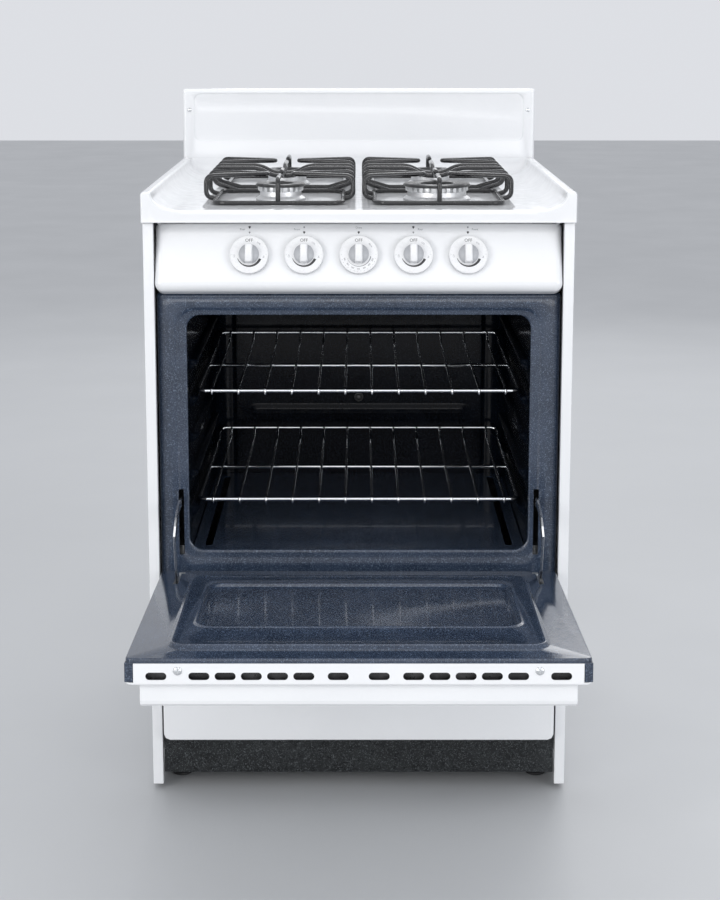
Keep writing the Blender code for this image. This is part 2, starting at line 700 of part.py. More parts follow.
def gas_supply(root):
    """The regulator low at the back, and the pipe that rises from it and runs forward."""
    x, y, z = 0.240, 0.562, 0.110
    bm = bmesh.new()
    block(bm, (x - 0.020, y - 0.022, z - 0.020), (x + 0.020, y + 0.018, z + 0.020))
    obj = put("gas_regulator", bm, steel(), root)
    more = bmesh.new()
    rod(more, [(x, y, z), (x, 0.618, z)], 0.0130, 6)
    rod(more, [(x - 0.042, y, z), (x - 0.010, y, z)], 0.0240, 12)
    join(obj, more)
    tilt = PANEL_TILT
    pipe_y = PANEL_POINT[0] + MANIFOLD_DEPTH * math.cos(tilt)
    pipe_z = PANEL_POINT[1] - MANIFOLD_DEPTH * math.sin(tilt)
    path = [(x, y, z + 0.0203), (x, y, pipe_z), (x, pipe_y, pipe_z), (0.2003, pipe_y, pipe_z)]
    bm = bmesh.new()
    rod(bm, bent(path, 0.025, 3), 0.0060, 8)
    put("gas_supply_pipe", bm, brass(), root, smooth=50)


def oven_burner(root):
    """The long burner tube under the oven's floor, and the plate that spreads its flame."""
    bm = bmesh.new()
    rod(bm, [(0, 0.100, 0.313), (0, 0.520, 0.313)], 0.0140, 12)
    obj = put("oven_burner", bm, steel(), root, smooth=40)
    more = bmesh.new()
    block(more, (-0.045, 0.519, 0.295), (0.045, 0.5205, 0.3370))
    join(obj, more)
    half = 0.110
    outline = [(-half, 0.3330), (-0.012, 0.3400), (0.012, 0.3400), (half, 0.3330),
               (half, 0.3315), (0.012, 0.3385), (-0.012, 0.3385), (-half, 0.3315)]
    bm = bmesh.new()
    prism(bm, outline, 0.070, 0.500, "Y")
    put("flame_baffle", bm, steel(), root)


# ---- Racks --------------------------------------------------------------------------------------


def rack(root, name, y, level, flip):
    """A wire rack with its origin at the middle of its front bar. flip turns it upside down."""
    half, deep, rise = RACK_HALF, RACK_DEEP, 0.018 * flip
    corner = 0.012
    frame = rounded_rectangle((-half, 0), (half, deep), corner, 2)
    bm = bmesh.new()
    rod(bm, [(x, d, 0) for x, d in frame], RACK_ROD, 6, closed=True)
    obj = put(name, bm, chrome(), root, (0, y, level), smooth=50)
    more = bmesh.new()
    rod(more, [(-half + 0.001, deep * 0.42, 0), (half - 0.001, deep * 0.42, 0)], RACK_ROD, 6)
    pitch = (2 * half - 0.042) / (RACK_WIRES - 1)
    for k in range(RACK_WIRES):
        x = -half + 0.021 + k * pitch
        level_z = 0.0030 * flip
        path = [(x, -0.0005, 0.0010 * flip), (x, 0.006, level_z), (x, deep - 0.045, level_z),
                (x, deep - 0.012, rise)]
        rod(more, path, RACK_WIRE, 4)
    lip = [(-half + 0.004, deep - 0.030, 0), (-half + 0.010, deep - 0.012, rise),
           (half - 0.010, deep - 0.012, rise), (half - 0.004, deep - 0.030, 0)]
    rod(more, bent(lip, 0.012, 2), RACK_ROD, 6)
    join(obj, more)


def racks(root):
    rack(root, "oven_rack_lower", 0.0930, RACK_LEVELS[0], 1)
    rack(root, "oven_rack_upper", 0.0930, RACK_LEVELS[3], 1)


# ---- Door ---------------------------------------------------------------------------------------


def door_block(bm, x, along, height):
    """A box in the hinge's frame, from its x, distance and height ranges."""
    block(bm, (x[0], -along[1], height[0]), (x[1], -along[0], height[1]))


def hinge_gaps(bm, low, high):
    """Notches round the hinges, in both sides of the door's lower edge."""
    for _, sign in sides():
        x = sorted((sign * NOTCH_X[0], sign * NOTCH_X[1]))
        door_block(bm, x, (-0.005, NOTCH_LONG), (low, high))


def door_outer(hinge):
    """The white pan of the door. Its free edge holds the vent slots."""
    bm = bmesh.new()
    outline = rounded_rectangle((-DOOR_HALF, -DOOR_LONG), (DOOR_HALF, 0), 0.010, 2)
    prism(bm, outline, DOOR_OUT, LINER_Z - GAP)
    obj = put("door_outer_panel", bm, white_enamel(), hinge, smooth=40)
    hollow = bmesh.new()
    inner = rounded_rectangle((-DOOR_HALF + SHEET, SHEET - DOOR_LONG),
                              (DOOR_HALF - SHEET, -SHEET), 0.008, 2)
    prism(hollow, inner, DOOR_OUT + SHEET, 0.05)
    hinge_gaps(hollow, -0.03, 0.05)
    combine(obj, hollow, "DIFFERENCE", self_union=True)
    vents = bmesh.new()
    for x in VENT_X:
        for _, sign in sides():
            center = sign * x
            outline = rounded_rectangle((center - VENT_LONG / 2, 0.0005 - VENT_HIGH / 2),
                                        (center + VENT_LONG / 2, 0.0005 + VENT_HIGH / 2),
                                        VENT_HIGH / 2 - 0.0001, 2)
            prism(vents, outline, -DOOR_LONG - 0.01, -DOOR_LONG + 0.01, "Y")
    cut(obj, vents)


def door_liner(hinge):
    """The enamelled inner pan, with a raised plug that enters the oven and a dished middle."""
    edge = 0.0010
    bm = bmesh.new()
    outline = rounded_rectangle((-DOOR_HALF + edge, edge - DOOR_LONG), (DOOR_HALF - edge, -edge),
                                0.009, 2)
    prism(bm, outline, LINER_Z, DOOR_IN)
    obj = put("door_liner", bm, dark_enamel(), hinge, smooth=40)
    start, end, half, rise = PLUG
    plug = bmesh.new()
    prism(plug, rounded_rectangle((-half, -end), (half, -start), 0.020, 3),
          DOOR_IN - 0.003, DOOR_IN + rise)
    join(obj, plug)
    gone = bmesh.new()
    hinge_gaps(gone, 0.0, 0.04)
    for _, sign in sides():
        x = sorted((sign * SLOT_X[0], sign * SLOT_X[1]))
        door_block(gone, x, (0.010, 0.075), (0.0, 0.04))
    start, end, half, depth = DISH
    prism(gone, rounded_rectangle((-half, -end), (half, -start), 0.020, 3),
          DOOR_IN + rise - depth, DOOR_IN + 0.02)
    combine(obj, gone, "DIFFERENCE", self_union=True)


def door_wool(hinge):
    bm = bmesh.new()
    door_block(bm, (-0.245, 0.245), (0.006, 0.400), (DOOR_OUT + SHEET + GAP, LINER_Z - GAP))
    put("door_insulation", bm, wool(), hinge)


def handle_outline(near, far, inner, outer, radius):
    """Section of a handle: straight down from the door, round a corner and back to the hinge."""
    corner = arc((-far + radius, outer + radius), radius, 180, 270, 3)
    return [(-far, inner), *corner, (-near, outer), (-near, inner)]


def door_handle(hinge):
    """A pressed channel across the door near its free edge, with closed ends. Its long side
    opens towards the hinge, and the fingers go in there."""
    half, thick = 0.2690, 0.0030
    near, far, outer = 0.3720, 0.4060, DOOR_OUT - 0.0320
    bm = bmesh.new()
    prism(bm, handle_outline(near, far, DOOR_OUT - GAP, outer, 0.0090), -half, half, "X")
    obj = put("door_handle", bm, white_enamel(), hinge, smooth=40)
    hollow = bmesh.new()
    outline = handle_outline(near - 0.01, far - thick, DOOR_OUT + 0.01, outer + thick, 0.0060)
    prism(hollow, outline, thick - half, half - thick, "X")
    cut(obj, hollow)


def arm_outline():
    """Side view of a door arm: an arc about the hinge, a leg into the door and an eye."""
    outer, inner = ARM_R + ARM_WIDE / 2, ARM_R - ARM_WIDE / 2
    start, end = 112, 47
    over = [(-a, b) for a, b in arc((0, 0), outer, start, end, 8)]
    under = [(-a, b) for a, b in arc((0, 0), inner, end, start, 8)]
    eye = [(-a, b) for a, b in arc((0, 0), 0.0072, -75, -255, 6)]
    return over + [(-0.0600, 0.0250), (-0.0600, -0.0072)] + eye + [
        (-0.0300, 0.0060), (-0.0440, 0.0130), (-0.0460, 0.0250)] + under


def door_arms(hinge):
    """Flat steel arms that swing into slots in the face frame and hold the open door."""
    for name, sign in sides():
        bm = bmesh.new()
        x0, x1 = sorted((sign * ARM_X[0], sign * ARM_X[1]))
        prism(bm, arm_outline(), x0, x1, "X")
        obj = put("door_arm_" + name, bm, chrome(), hinge)
        hole = bmesh.new()
        prism(hole, arc((0, 0), 0.0033, 0, 330, 11), x0 - 0.01, x1 + 0.01, "X")
        cut(obj, hole)


def hinge_brackets(root):
    """A forked bracket on the face frame at each side, with the pin that the arm's eye turns on."""
    back = FRAME_Y[0] - GAP - HINGE[1]
    for name, sign in sides():
        place = (sign * (ARM_X[0] + ARM_X[1]) / 2, HINGE[1], HINGE[2])
        ear = [(back, -0.0100), (back, 0.0100), *arc((0, 0), 0.0065, 90, 270, 5)]
        bm = bmesh.new()
        prism(bm, ear, -0.0045, -0.0020, "X")
        obj = put("hinge_bracket_" + name, bm, steel(), root, place, smooth=40)
        more = bmesh.new()
        prism(more, ear, 0.0020, 0.0045, "X")
        block(more, (-0.0045, back - 0.0020, -0.0120), (0.0045, back, 0.0120))
        rod(more, [(-0.0055, 0, 0), (0.0055, 0, 0)], 0.0028, 10)
        join(obj, more)


def door_screws(hinge):
    """Round-headed screws through the door's free edge, which hold the pan to its inner frame."""
    head = [(0, 0.0), (SCREW_TIP_R, 0.0), (0.0050, -0.0008), (0.0055, -SCREW_HIGH),
            (0, -SCREW_HIGH)]
    for name, sign in sides():
        bm = bmesh.new()
        lathe(bm, head, 12)
        place = (sign * SCREW_X, -DOOR_LONG - SCREW_HIGH - GAP, SCREW_Z)
        obj = put("door_screw_" + name, bm, chrome(), hinge, place, smooth=40)
        obj.rotation_euler = (math.pi / 2, 0, 0)


# ---- Broiler drawer -----------------------------------------------------------------------------


def broiler_drawer(root):
    """The drawer below the oven: a white front pan, an enamelled tray and a slotted grid."""
    (z0, z1), (y0, y1) = DRAWER_Z, DRAWER_Y
    bm = bmesh.new()
    prism(bm, rounded_rectangle((-DOOR_HALF, z0), (DOOR_HALF, z1), 0.009, 2), y0, y1, "Y")
    obj = put("drawer_front", bm, white_enamel(), root, smooth=40)
    hollow = bmesh.new()
    block(hollow, (-DOOR_HALF + 0.010, y0 + SHEET, z0 + 0.010),
          (DOOR_HALF - 0.010, y1 + 0.01, z1 - 0.010))
    cut(obj, hollow)

    bm = bmesh.new()
    front = DRAWER_Y[1] + GAP
    block(bm, (-TRAY_HALF, front, TRAY_Z[0]), (TRAY_HALF, TRAY_BACK, TRAY_Z[1]))
    obj = put("broiler_tray", bm, dark_enamel(), root)
    hollow = bmesh.new()
    block(hollow, (-TRAY_HALF + SHEET, front + SHEET, TRAY_Z[0] + SHEET),
          (TRAY_HALF - SHEET, TRAY_BACK - SHEET, TRAY_Z[1] + 0.01))
    cut(obj, hollow)

    low, high, half = TRAY_Z[0] + SHEET + GAP, 0.1250, 0.2200
    bm = bmesh.new()
    outline = [(-half, low), (-half, high), (half, high), (half, low), (half - SHEET, low),
               (half - SHEET, high - SHEET), (SHEET - half, high - SHEET), (SHEET - half, low)]
    prism(bm, outline, 0.030, 0.450, "Y")
    obj = put("broiler_grid", bm, dark_enamel(), root)
    slots = bmesh.new()
    for row in range(8):
        y = 0.065 + row * 0.050
        for side in (-0.100, 0.100):
            block(slots, (side - 0.080, y - 0.005, high - 0.01), (side + 0.080, y + 0.005, high + 0.01))
    cut(obj, slots)


def build():
    clear_scene()
    root = empty("range", None, (0.0, FRONT_Y, 0.0))
    face = empty("panel_face", root, (0.0, *PANEL_POINT), math.pi / 2 - PANEL_TILT)
    hinge = empty("door_hinge", root, HINGE, -DOOR_TILT)
    for make in (side_panels, back_panel, base_frame, levelling_feet, kick_panel, front_frame,
                 oven_liner, oven_floor, oven_insulation, liner_fastener, thermostat_bulb,
                 cooktop, backguard, burners, grates, gas_supply, oven_burner, racks,
                 hinge_brackets, broiler_drawer):
        make(root)
    for make in (control_panel, knobs):
        make(face)
    gas_manifold(root, face)
    for make in (door_outer, door_liner, door_wool, door_handle, door_arms, door_screws):
        make(hinge)


build()
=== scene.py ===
"""Looks of the freestanding gas range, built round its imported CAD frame.

Metres, +Z up. Most pieces are drawn in one of three local frames: the cabinet's (y = 0 at the
front of the side panels), the control panel's (z out of its face, y up its slope) and the
door's (y is minus the distance from the hinge, z points into the oven).
"""

import json
from math import copysign, cos, hypot, pi, radians, sin, sqrt

import bmesh
import bpy
from mathutils import Matrix, Vector

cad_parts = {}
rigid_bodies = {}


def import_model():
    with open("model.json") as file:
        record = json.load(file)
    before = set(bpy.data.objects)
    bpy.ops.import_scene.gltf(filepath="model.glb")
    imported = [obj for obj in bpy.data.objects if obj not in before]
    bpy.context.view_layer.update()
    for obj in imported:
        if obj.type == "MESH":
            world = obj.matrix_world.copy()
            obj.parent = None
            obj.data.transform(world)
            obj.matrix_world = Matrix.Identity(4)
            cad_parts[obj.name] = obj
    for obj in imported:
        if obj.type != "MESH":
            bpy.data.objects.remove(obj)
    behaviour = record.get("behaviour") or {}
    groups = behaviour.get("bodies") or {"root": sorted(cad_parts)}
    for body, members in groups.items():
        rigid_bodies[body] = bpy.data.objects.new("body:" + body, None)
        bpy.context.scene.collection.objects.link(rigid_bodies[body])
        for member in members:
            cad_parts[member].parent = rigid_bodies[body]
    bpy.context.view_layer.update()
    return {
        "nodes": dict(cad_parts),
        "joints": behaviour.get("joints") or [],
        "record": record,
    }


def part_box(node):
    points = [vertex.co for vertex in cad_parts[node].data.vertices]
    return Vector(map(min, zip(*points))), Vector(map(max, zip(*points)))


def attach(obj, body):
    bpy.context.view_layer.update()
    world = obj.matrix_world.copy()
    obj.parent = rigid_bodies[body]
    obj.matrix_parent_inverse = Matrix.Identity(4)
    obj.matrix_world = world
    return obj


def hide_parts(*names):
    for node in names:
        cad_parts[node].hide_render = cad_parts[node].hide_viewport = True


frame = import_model()
record = frame["record"]
BODY = {node: body for body, nodes in record["behaviour"]["bodies"].items() for node in nodes}
SLOT = {row["node"]: row["material_slot"] for row in record["subparts"]}
JOINT = {joint["name"]: joint for joint in frame["joints"]}

# Sizes that the boxes of the CAD nodes don't give
TOP_Z, WELL_DROP = 0.865, 0.0022    # cooktop's main surface, depth of its two wells
WELL_X, WELL_Y, WELL_R = (0.011, 0.224), (0.012, 0.54), 0.03
GRATE_ROD, GRATE_HALF, GRATE_OUT = 0.0035, 0.094, 0.1085    # rod, ring and reach of the fingers
GRATE_LOW, GRATE_HIGH = TOP_Z - WELL_DROP + 0.0038, 0.901
CAP_Z = 0.883    # underside of the burner caps
KNOB_OFF = 0.0045    # a knob's gap to the panel
KNOB_TOP = KNOB_OFF + 0.004    # face of its skirt
DOOR_TILT, DOOR_LONG = radians(3.0), 0.418
LINER_Z, DOOR_IN = 0.0163, 0.0225    # rim and flange of the door's liner
PLUG = (0.0475, 0.38, 0.236, 0.006)    # start, end, half width, rise
DISH = (0.097, 0.3, 0.207, 0.004)    # start, end, half width, depth
CAVITY_HALF, CAVITY_BACK, CAVITY_TOP, CAVITY_LOW = 0.2485, 0.515, 0.715, 0.342
REAR_R = 0.035    # corner between the oven's sides and its back
RACK_LEVELS = (0.419, 0.4745, 0.53, 0.585, 0.6405)
MOUTH = ((-0.247, 0.362), (0.247, 0.711), 0.02)    # low, high, corner radius
SHEET = 0.0012    # white sheet metal
ARM_GAP = 0.0022    # clearance of the slots round the door's arms
INK = 0.00006    # thickness of printed marks
SIDES = (("left", -1), ("right", 1))

FRONT_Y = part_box("side_panel_left")[0].y
CABINET = Matrix.Translation((0, FRONT_Y, 0))
knob_out = Vector(JOINT["knob_oven_turn"]["axis"]).normalized()
panel_up = knob_out.cross(Vector((1, 0, 0)))
PANEL = Matrix(((1, 0, 0), tuple(panel_up), tuple(knob_out))).transposed().to_4x4()
PANEL.translation = Vector(JOINT["knob_oven_turn"]["pos_m"])
DOOR = (Matrix.Translation(JOINT["door_hinge"]["pos_m"]) @ Matrix.Rotation(-DOOR_TILT, 4, "X"))


# ---- Materials ----


class Finish:
    """A material in the making: its methods add nodes to its tree and return outputs."""

    def __init__(self, name, color, roughness, metallic=0.0, coat=0.0):
        self.material = bpy.data.materials.new(name)
        self.material.use_nodes = True
        self.tree = self.material.node_tree
        self.shader = self.tree.nodes["Principled BSDF"]
        self.place = self.tree.nodes.new("ShaderNodeTexCoord").outputs["Object"]
        self.fill(self.shader, {"Base Color": (*color, 1), "Roughness": roughness,
                                "Metallic": metallic, "Coat Weight": coat, "Coat Roughness": 0.04})

    def fill(self, node, values):
        for name, value in values.items():
            node.inputs[name].default_value = value

    def link(self, output, target):
        self.tree.links.new(output, target)

    def node(self, kind, source, socket, values):
        """A new node with its values filled in and one socket linked to a source."""
        node = self.tree.nodes.new("ShaderNode" + kind)
        self.fill(node, values)
        self.link(source, node.inputs[socket])
        return node

    def stretched(self, scale):
        return self.node("Mapping", self.place, "Vector", {"Scale": scale}).outputs["Vector"]

    def noise(self, scale, detail=2.0, vector=None):
        values = {"Scale": scale, "Detail": detail}
        return self.node("TexNoise", vector or self.place, "Vector", values).outputs["Fac"]

    def cells(self, scale):
        return self.node("TexVoronoi", self.place, "Vector", {"Scale": scale}).outputs["Color"]

    def spread(self, source, low, high, to_low=0.0, to_high=1.0):
        limits = {"From Min": low, "From Max": high, "To Min": to_low, "To Max": to_high}
        return self.node("MapRange", source, "Value", limits).outputs["Result"]

    def blend(self, factor, first, second):
        """Mixes two colours; each is an output or three numbers."""
        node = self.tree.nodes.new("ShaderNodeMix")
        node.data_type = "RGBA"
        self.link(factor, node.inputs["Factor"])
        for socket, color in ((node.inputs[6], first), (node.inputs[7], second)):
            if isinstance(color, tuple):
                socket.default_value = (*color, 1)
            else:
                self.link(color, socket)
        return node.outputs[2]

    def color(self, output):
        self.link(output, self.shader.inputs["Base Color"])

    def roughness(self, source, low, high):
        self.link(self.spread(source, 0.3, 0.7, low, high), self.shader.inputs["Roughness"])

    def bump(self, *layers):
        """Adds bumps, each an output with its depth in metres."""
        normal = None
        for height, depth in layers:
            node = self.node("Bump", height, "Height", {"Strength": 1.0, "Distance": depth})
            if normal:
                self.link(normal, node.inputs["Normal"])
            normal = node.outputs["Normal"]
        self.link(normal, self.shader.inputs["Normal"])


def varied(name, ground, roughness, tones, tone, gloss, *bumps, **more):
    """A finish whose colour, gloss and bumps each follow a noise.

    tone is (scale, detail), with the stretch of the noise to use if not all of it, gloss is
    (scale, detail, low, high) and each of the bumps is (scale, detail, depth).
    """
    finish = Finish(name, ground, roughness, **more)
    mix = finish.noise(*tone[:2])
    if tone[2:]:
        mix = finish.spread(mix, *tone[2:])
    finish.color(finish.blend(mix, *tones))
    finish.roughness(finish.noise(*gloss[:2]), *gloss[2:])
    if bumps:
        finish.bump(*[(finish.noise(scale, detail), depth) for scale, detail, depth in bumps])
    return finish.material


def white_enamel():
    """Fired porcelain: a glassy white with a faint orange-peel ripple and cooler patches."""
    return varied("white_enamel", (0.8, 0.81, 0.825), 0.16,
                  ((0.775, 0.785, 0.8), (0.825, 0.833, 0.845)), (9.0, 3.0),
                  (60.0, 3.0, 0.11, 0.2), (260.0, 1.0, 0.0001), (35.0, 1.0, 0.00016), coat=0.35)


def speckled(name, ground, lighter, fleck, share, roughness, coat=0.3, gloss=0.5):
    """Mottled enamel: a dark ground with fine paler flecks sprayed over it."""
    finish = Finish(name, ground, roughness[0], coat=coat)
    finish.shader.inputs["Specular IOR Level"].default_value = gloss
    cloud = finish.spread(finish.noise(22.0, 4.0), 0.35, 0.68)
    base = finish.blend(cloud, ground, lighter)
    fine = finish.spread(finish.noise(760.0, 2.0), share, share + 0.1)
    coarse = finish.spread(finish.noise(420.0, 3.0), share + 0.05, share + 0.14)
    finish.color(finish.blend(coarse, finish.blend(fine, base, fleck), fleck))
    finish.roughness(finish.noise(90.0, 3.0), *roughness)
    finish.bump((finish.noise(420.0, 2.0), 0.00008), (finish.noise(45.0, 1.0), 0.00006))
    return finish.material


def dark_enamel():
    return speckled("dark_enamel", (0.018, 0.028, 0.05), (0.031, 0.046, 0.078),
                    (0.105, 0.14, 0.2), 0.565, (0.09, 0.2))


def oven_enamel():
    """A near-black copy of the dark enamel for inside the oven, duller and less flecked: painted
    shade for the enclosed cavity.
    """
    return speckled("oven_enamel", (0.0015, 0.0024, 0.0045), (0.0035, 0.0055, 0.01),
                    (0.012, 0.017, 0.027), 0.57, (0.08, 0.18), coat=0.0, gloss=0.16)


def kick_enamel():
    return speckled("kick_enamel", (0.006, 0.007, 0.008), (0.012, 0.014, 0.015),
                    (0.105, 0.115, 0.12), 0.585, (0.22, 0.38), coat=0.0, gloss=0.35)


def black_enamel():
    """Glossy black on bent rod, a little uneven where it pooled."""
    return varied("black_enamel", (0.01, 0.01, 0.011), 0.2,
                  ((0.009, 0.009, 0.01), (0.045, 0.045, 0.047)), (170.0, 4.0, 0.62, 0.78),
                  (240.0, 3.0, 0.13, 0.3), (500.0, 2.0, 0.00012), (110.0, 1.0, 0.00025), coat=0.4)


def cap_enamel():
    """The burner caps' drier black, with grey bloom from heat."""
    return varied("cap_enamel", (0.014, 0.014, 0.015), 0.35,
                  ((0.012, 0.012, 0.013), (0.05, 0.05, 0.053)), (55.0, 5.0, 0.48, 0.72),
                  (150.0, 3.0, 0.25, 0.45), (700.0, 2.0, 0.0001), coat=0.1)


def metal(name, low, high, roughness, grain, depth=0.00005):
    """Bare metal whose tone and gloss vary with a grain of the given scale."""
    return varied(name, low, roughness[0], (low, high), (grain, 4.0),
                  (grain * 0.6, 3.0, *roughness), (grain * 2.2, 2.0, depth), metallic=1.0)


def chrome():
    return metal("chrome", (0.7, 0.72, 0.75), (0.84, 0.85, 0.87), (0.07, 0.17), 180.0)


def bright_steel():
    return metal("bright_steel", (0.66, 0.68, 0.7), (0.82, 0.83, 0.84), (0.14, 0.3), 120.0)


def aluminium():
    return metal("aluminium", (0.74, 0.75, 0.76), (0.9, 0.9, 0.9), (0.34, 0.52), 320.0, 0.0001)


def brass():
    return metal("brass", (0.6, 0.43, 0.18), (0.76, 0.57, 0.27), (0.22, 0.38), 160.0)


def black_steel():
    return metal("black_steel", (0.05, 0.05, 0.052), (0.11, 0.11, 0.112), (0.32, 0.5), 200.0)


def galvanised_steel():
    """Zinc spangle: flat crystals that differ in tone, under a fine grain."""
    finish = Finish("galvanised_steel", (0.5, 0.52, 0.54), 0.4, metallic=1.0)
    crystals = finish.spread(finish.cells(150.0), 0.0, 1.0)
    finish.color(finish.blend(crystals, (0.5, 0.52, 0.54), (0.62, 0.64, 0.66)))
    finish.roughness(crystals, 0.3, 0.48)
    finish.bump((finish.noise(400.0, 2.0), 0.00005))
    return finish.material


def plastic(name, ground, roughness, tones, scale, gloss):
    """Moulded satin plastic with a fine moulding texture."""
    return varied(name, ground, roughness, tones, (scale, 3.0), (300.0, 3.0, *gloss),
                  (900.0, 2.0, 0.00004))


def white_plastic():
    """The knobs' plastic."""
    return plastic("white_plastic", (0.8, 0.8, 0.8), 0.3,
                   ((0.785, 0.79, 0.8), (0.82, 0.822, 0.825)), 40.0, (0.24, 0.36))


def grey_plastic():
    """A greyed copy of the knobs' plastic for their sloping shoulders: painted shade on the hub's
    sides.
    """
    return plastic("grey_plastic", (0.42, 0.43, 0.45), 0.35,
                   ((0.38, 0.39, 0.41), (0.47, 0.48, 0.5)), 60.0, (0.26, 0.4))


def ink(name, ground, *tones):
    """Thin, dull printing."""
    return varied(name, ground, 0.45, tones, (900.0, 3.0), (600.0, 2.0, 0.38, 0.55))


def print_ink():
    return ink("print_ink", (0.02, 0.02, 0.022), (0.015, 0.015, 0.017), (0.05, 0.05, 0.053))


def pale_ink():
    return ink("pale_ink", (0.18, 0.19, 0.2), (0.15, 0.16, 0.17), (0.24, 0.25, 0.27))


def glass_wool():
    """Matted glass-wool fibres with long streaks and tufts, in dark browns well below the yellow
    ground: painted shade.
    """
    finish = Finish("glass_wool", (0.75, 0.66, 0.38), 0.95)
    streaks = finish.noise(130.0, 6.0, finish.stretched((1.0, 3.5, 6.0)))
    # These darkened tones are painted shade for wool seen through slots and vents.
    finish.color(finish.blend(streaks, (0.2, 0.16, 0.08), (0.42, 0.37, 0.23)))
    finish.shader.inputs["Sheen Weight"].default_value = 0.3
    finish.bump((streaks, 0.002), (finish.noise(700.0, 4.0), 0.0008))
    return finish.material


MAKERS = (white_enamel, dark_enamel, kick_enamel, black_enamel, black_steel, aluminium, chrome,
          bright_steel, galvanised_steel, brass, white_plastic, glass_wool, cap_enamel,
          oven_enamel, grey_plastic, print_ink, pale_ink)
FINISH = {maker.__name__: maker() for maker in MAKERS}


# ---- Shapes ----


def arc(center, radius, start, end, steps):
    """Points on an arc, from start to end in degrees. radius may be one number or two."""
    rx, ry = radius if isinstance(radius, tuple) else (radius, radius)
    turns = [radians(start + (end - start) * k / steps) for k in range(steps + 1)]
    return [(center[0] + rx * cos(a), center[1] + ry * sin(a)) for a in turns]


def quarter(radius, steps, first=0):
    """(inset, what is left) pairs round a quarter roll, from its side wall to its face."""
    turns = [radians(90 * k / steps) for k in range(first, steps + 1)]
    return [(radius * (1 - cos(a)), radius * (1 - sin(a))) for a in turns]


def smooth_step(value):
    t = min(max(value, 0.0), 1.0)
    return t * t * (3 - 2 * t)


def inside_by(x, y, low, high, radius):
    """How far a point lies inside a rounded rectangle, negative outside it."""
    cx, cy = (low[0] + high[0]) / 2, (low[1] + high[1]) / 2
    qx = abs(x - cx) - (high[0] - low[0]) / 2 + radius
    qy = abs(y - cy) - (high[1] - low[1]) / 2 + radius
    outside = hypot(max(qx, 0.0), max(qy, 0.0))
    return radius - outside - min(max(qx, qy), 0.0)


def steps_between(*stretches):
    """Positions along a line from (start, end, spacing) stretches that follow each other."""
    places = [stretches[0][0]]
    for start, end, spacing in stretches:
        count = max(1, round((end - start) / spacing))
        places += [start + (end - start) * (k + 1) / count for k in range(count)]
    return places


def rounded_ring(low, high, radius, steps=6):
    """A rounded rectangle's outline. Rings of the same steps match point for point."""
    (x0, y0), (x1, y1) = low, high
    radius = min(radius, (x1 - x0) / 2 - 1e-5, (y1 - y0) / 2 - 1e-5)
    corners = (((x0 + radius, y0 + radius), 180), ((x1 - radius, y0 + radius), 270),
               ((x1 - radius, y1 - radius), 0), ((x0 + radius, y1 - radius), 90))
    outline = []
    for center, start in corners:
        outline += arc(center, radius, start, start + 90, steps)
    return outline


def grown(shape, amount):
    """A (low, high, radius) rectangle grown outwards by an amount, or by (x, low y, high y)."""
    dx, dy0, dy1 = amount if isinstance(amount, tuple) else (amount,) * 3
    (x0, y0), (x1, y1), radius = shape
    return (x0 - dx, y0 - dy0), (x1 + dx, y1 + dy1), max(radius + dx, 0.0005)


def loft(bm, rings, closed=True, cap_first=False, cap_last=False):
    """Skins rings of 3-D points, each ring closed on itself unless told otherwise."""
    made = [[bm.verts.new(point) for point in ring] for ring in rings]
    count = len(made[0])
    for first, second in zip(made, made[1:]):
        for k in range(count if closed else count - 1):
            n = (k + 1) % count
            bm.faces.new((first[k], first[n], second[n], second[k]))
    if cap_first:
        bm.faces.new(made[0])
    if cap_last:
        bm.faces.new(made[-1])
    return made


def grid(bm, across, along, place):
    """A sheet whose points are place(u, v) for u across and v along."""
    loft(bm, [[place(u, v) for u in across] for v in along], closed=False)


def lathe(bm, profile, segments, center=(0.0, 0.0), wave=None):
    """Turns a (radius, height) profile. wave(turn, k) changes the k-th radius round the axis."""
    turns = [2 * pi * k / segments for k in range(segments)]
    rings = []
    for k, (radius, height) in enumerate(profile):
        ring = []
        for a in turns:
            r = radius + (wave(a, k) if wave else 0.0)
            ring.append((center[0] + r * cos(a), center[1] + r * sin(a), height))
        rings.append(ring)
    made = loft(bm, rings)
    for (radius, _), ring in ((profile[0], made[0]), (profile[-1], made[-1])):
        if radius < 0.0004:
            middle = sum((v.co for v in ring), Vector()) / len(ring)
            bmesh.ops.pointmerge(bm, verts=ring, merge_co=middle)


def bent(points, radius, steps=6):
    """Rounds the inner corners of a path of points."""
    points = [Vector(p) for p in points]
    path = [points[0]]
    for before, corner, after in zip(points, points[1:], points[2:]):
        reach = min(radius, (before - corner).length / 2.01, (after - corner).length / 2.01)
        start = corner + (before - corner).normalized() * reach
        end = corner + (after - corner).normalized() * reach
        for k in range(steps + 1):
            t = k / steps
            path.append(start * (1 - t) ** 2 + corner * 2 * t * (1 - t) + end * t ** 2)
    return path + [points[-1]]


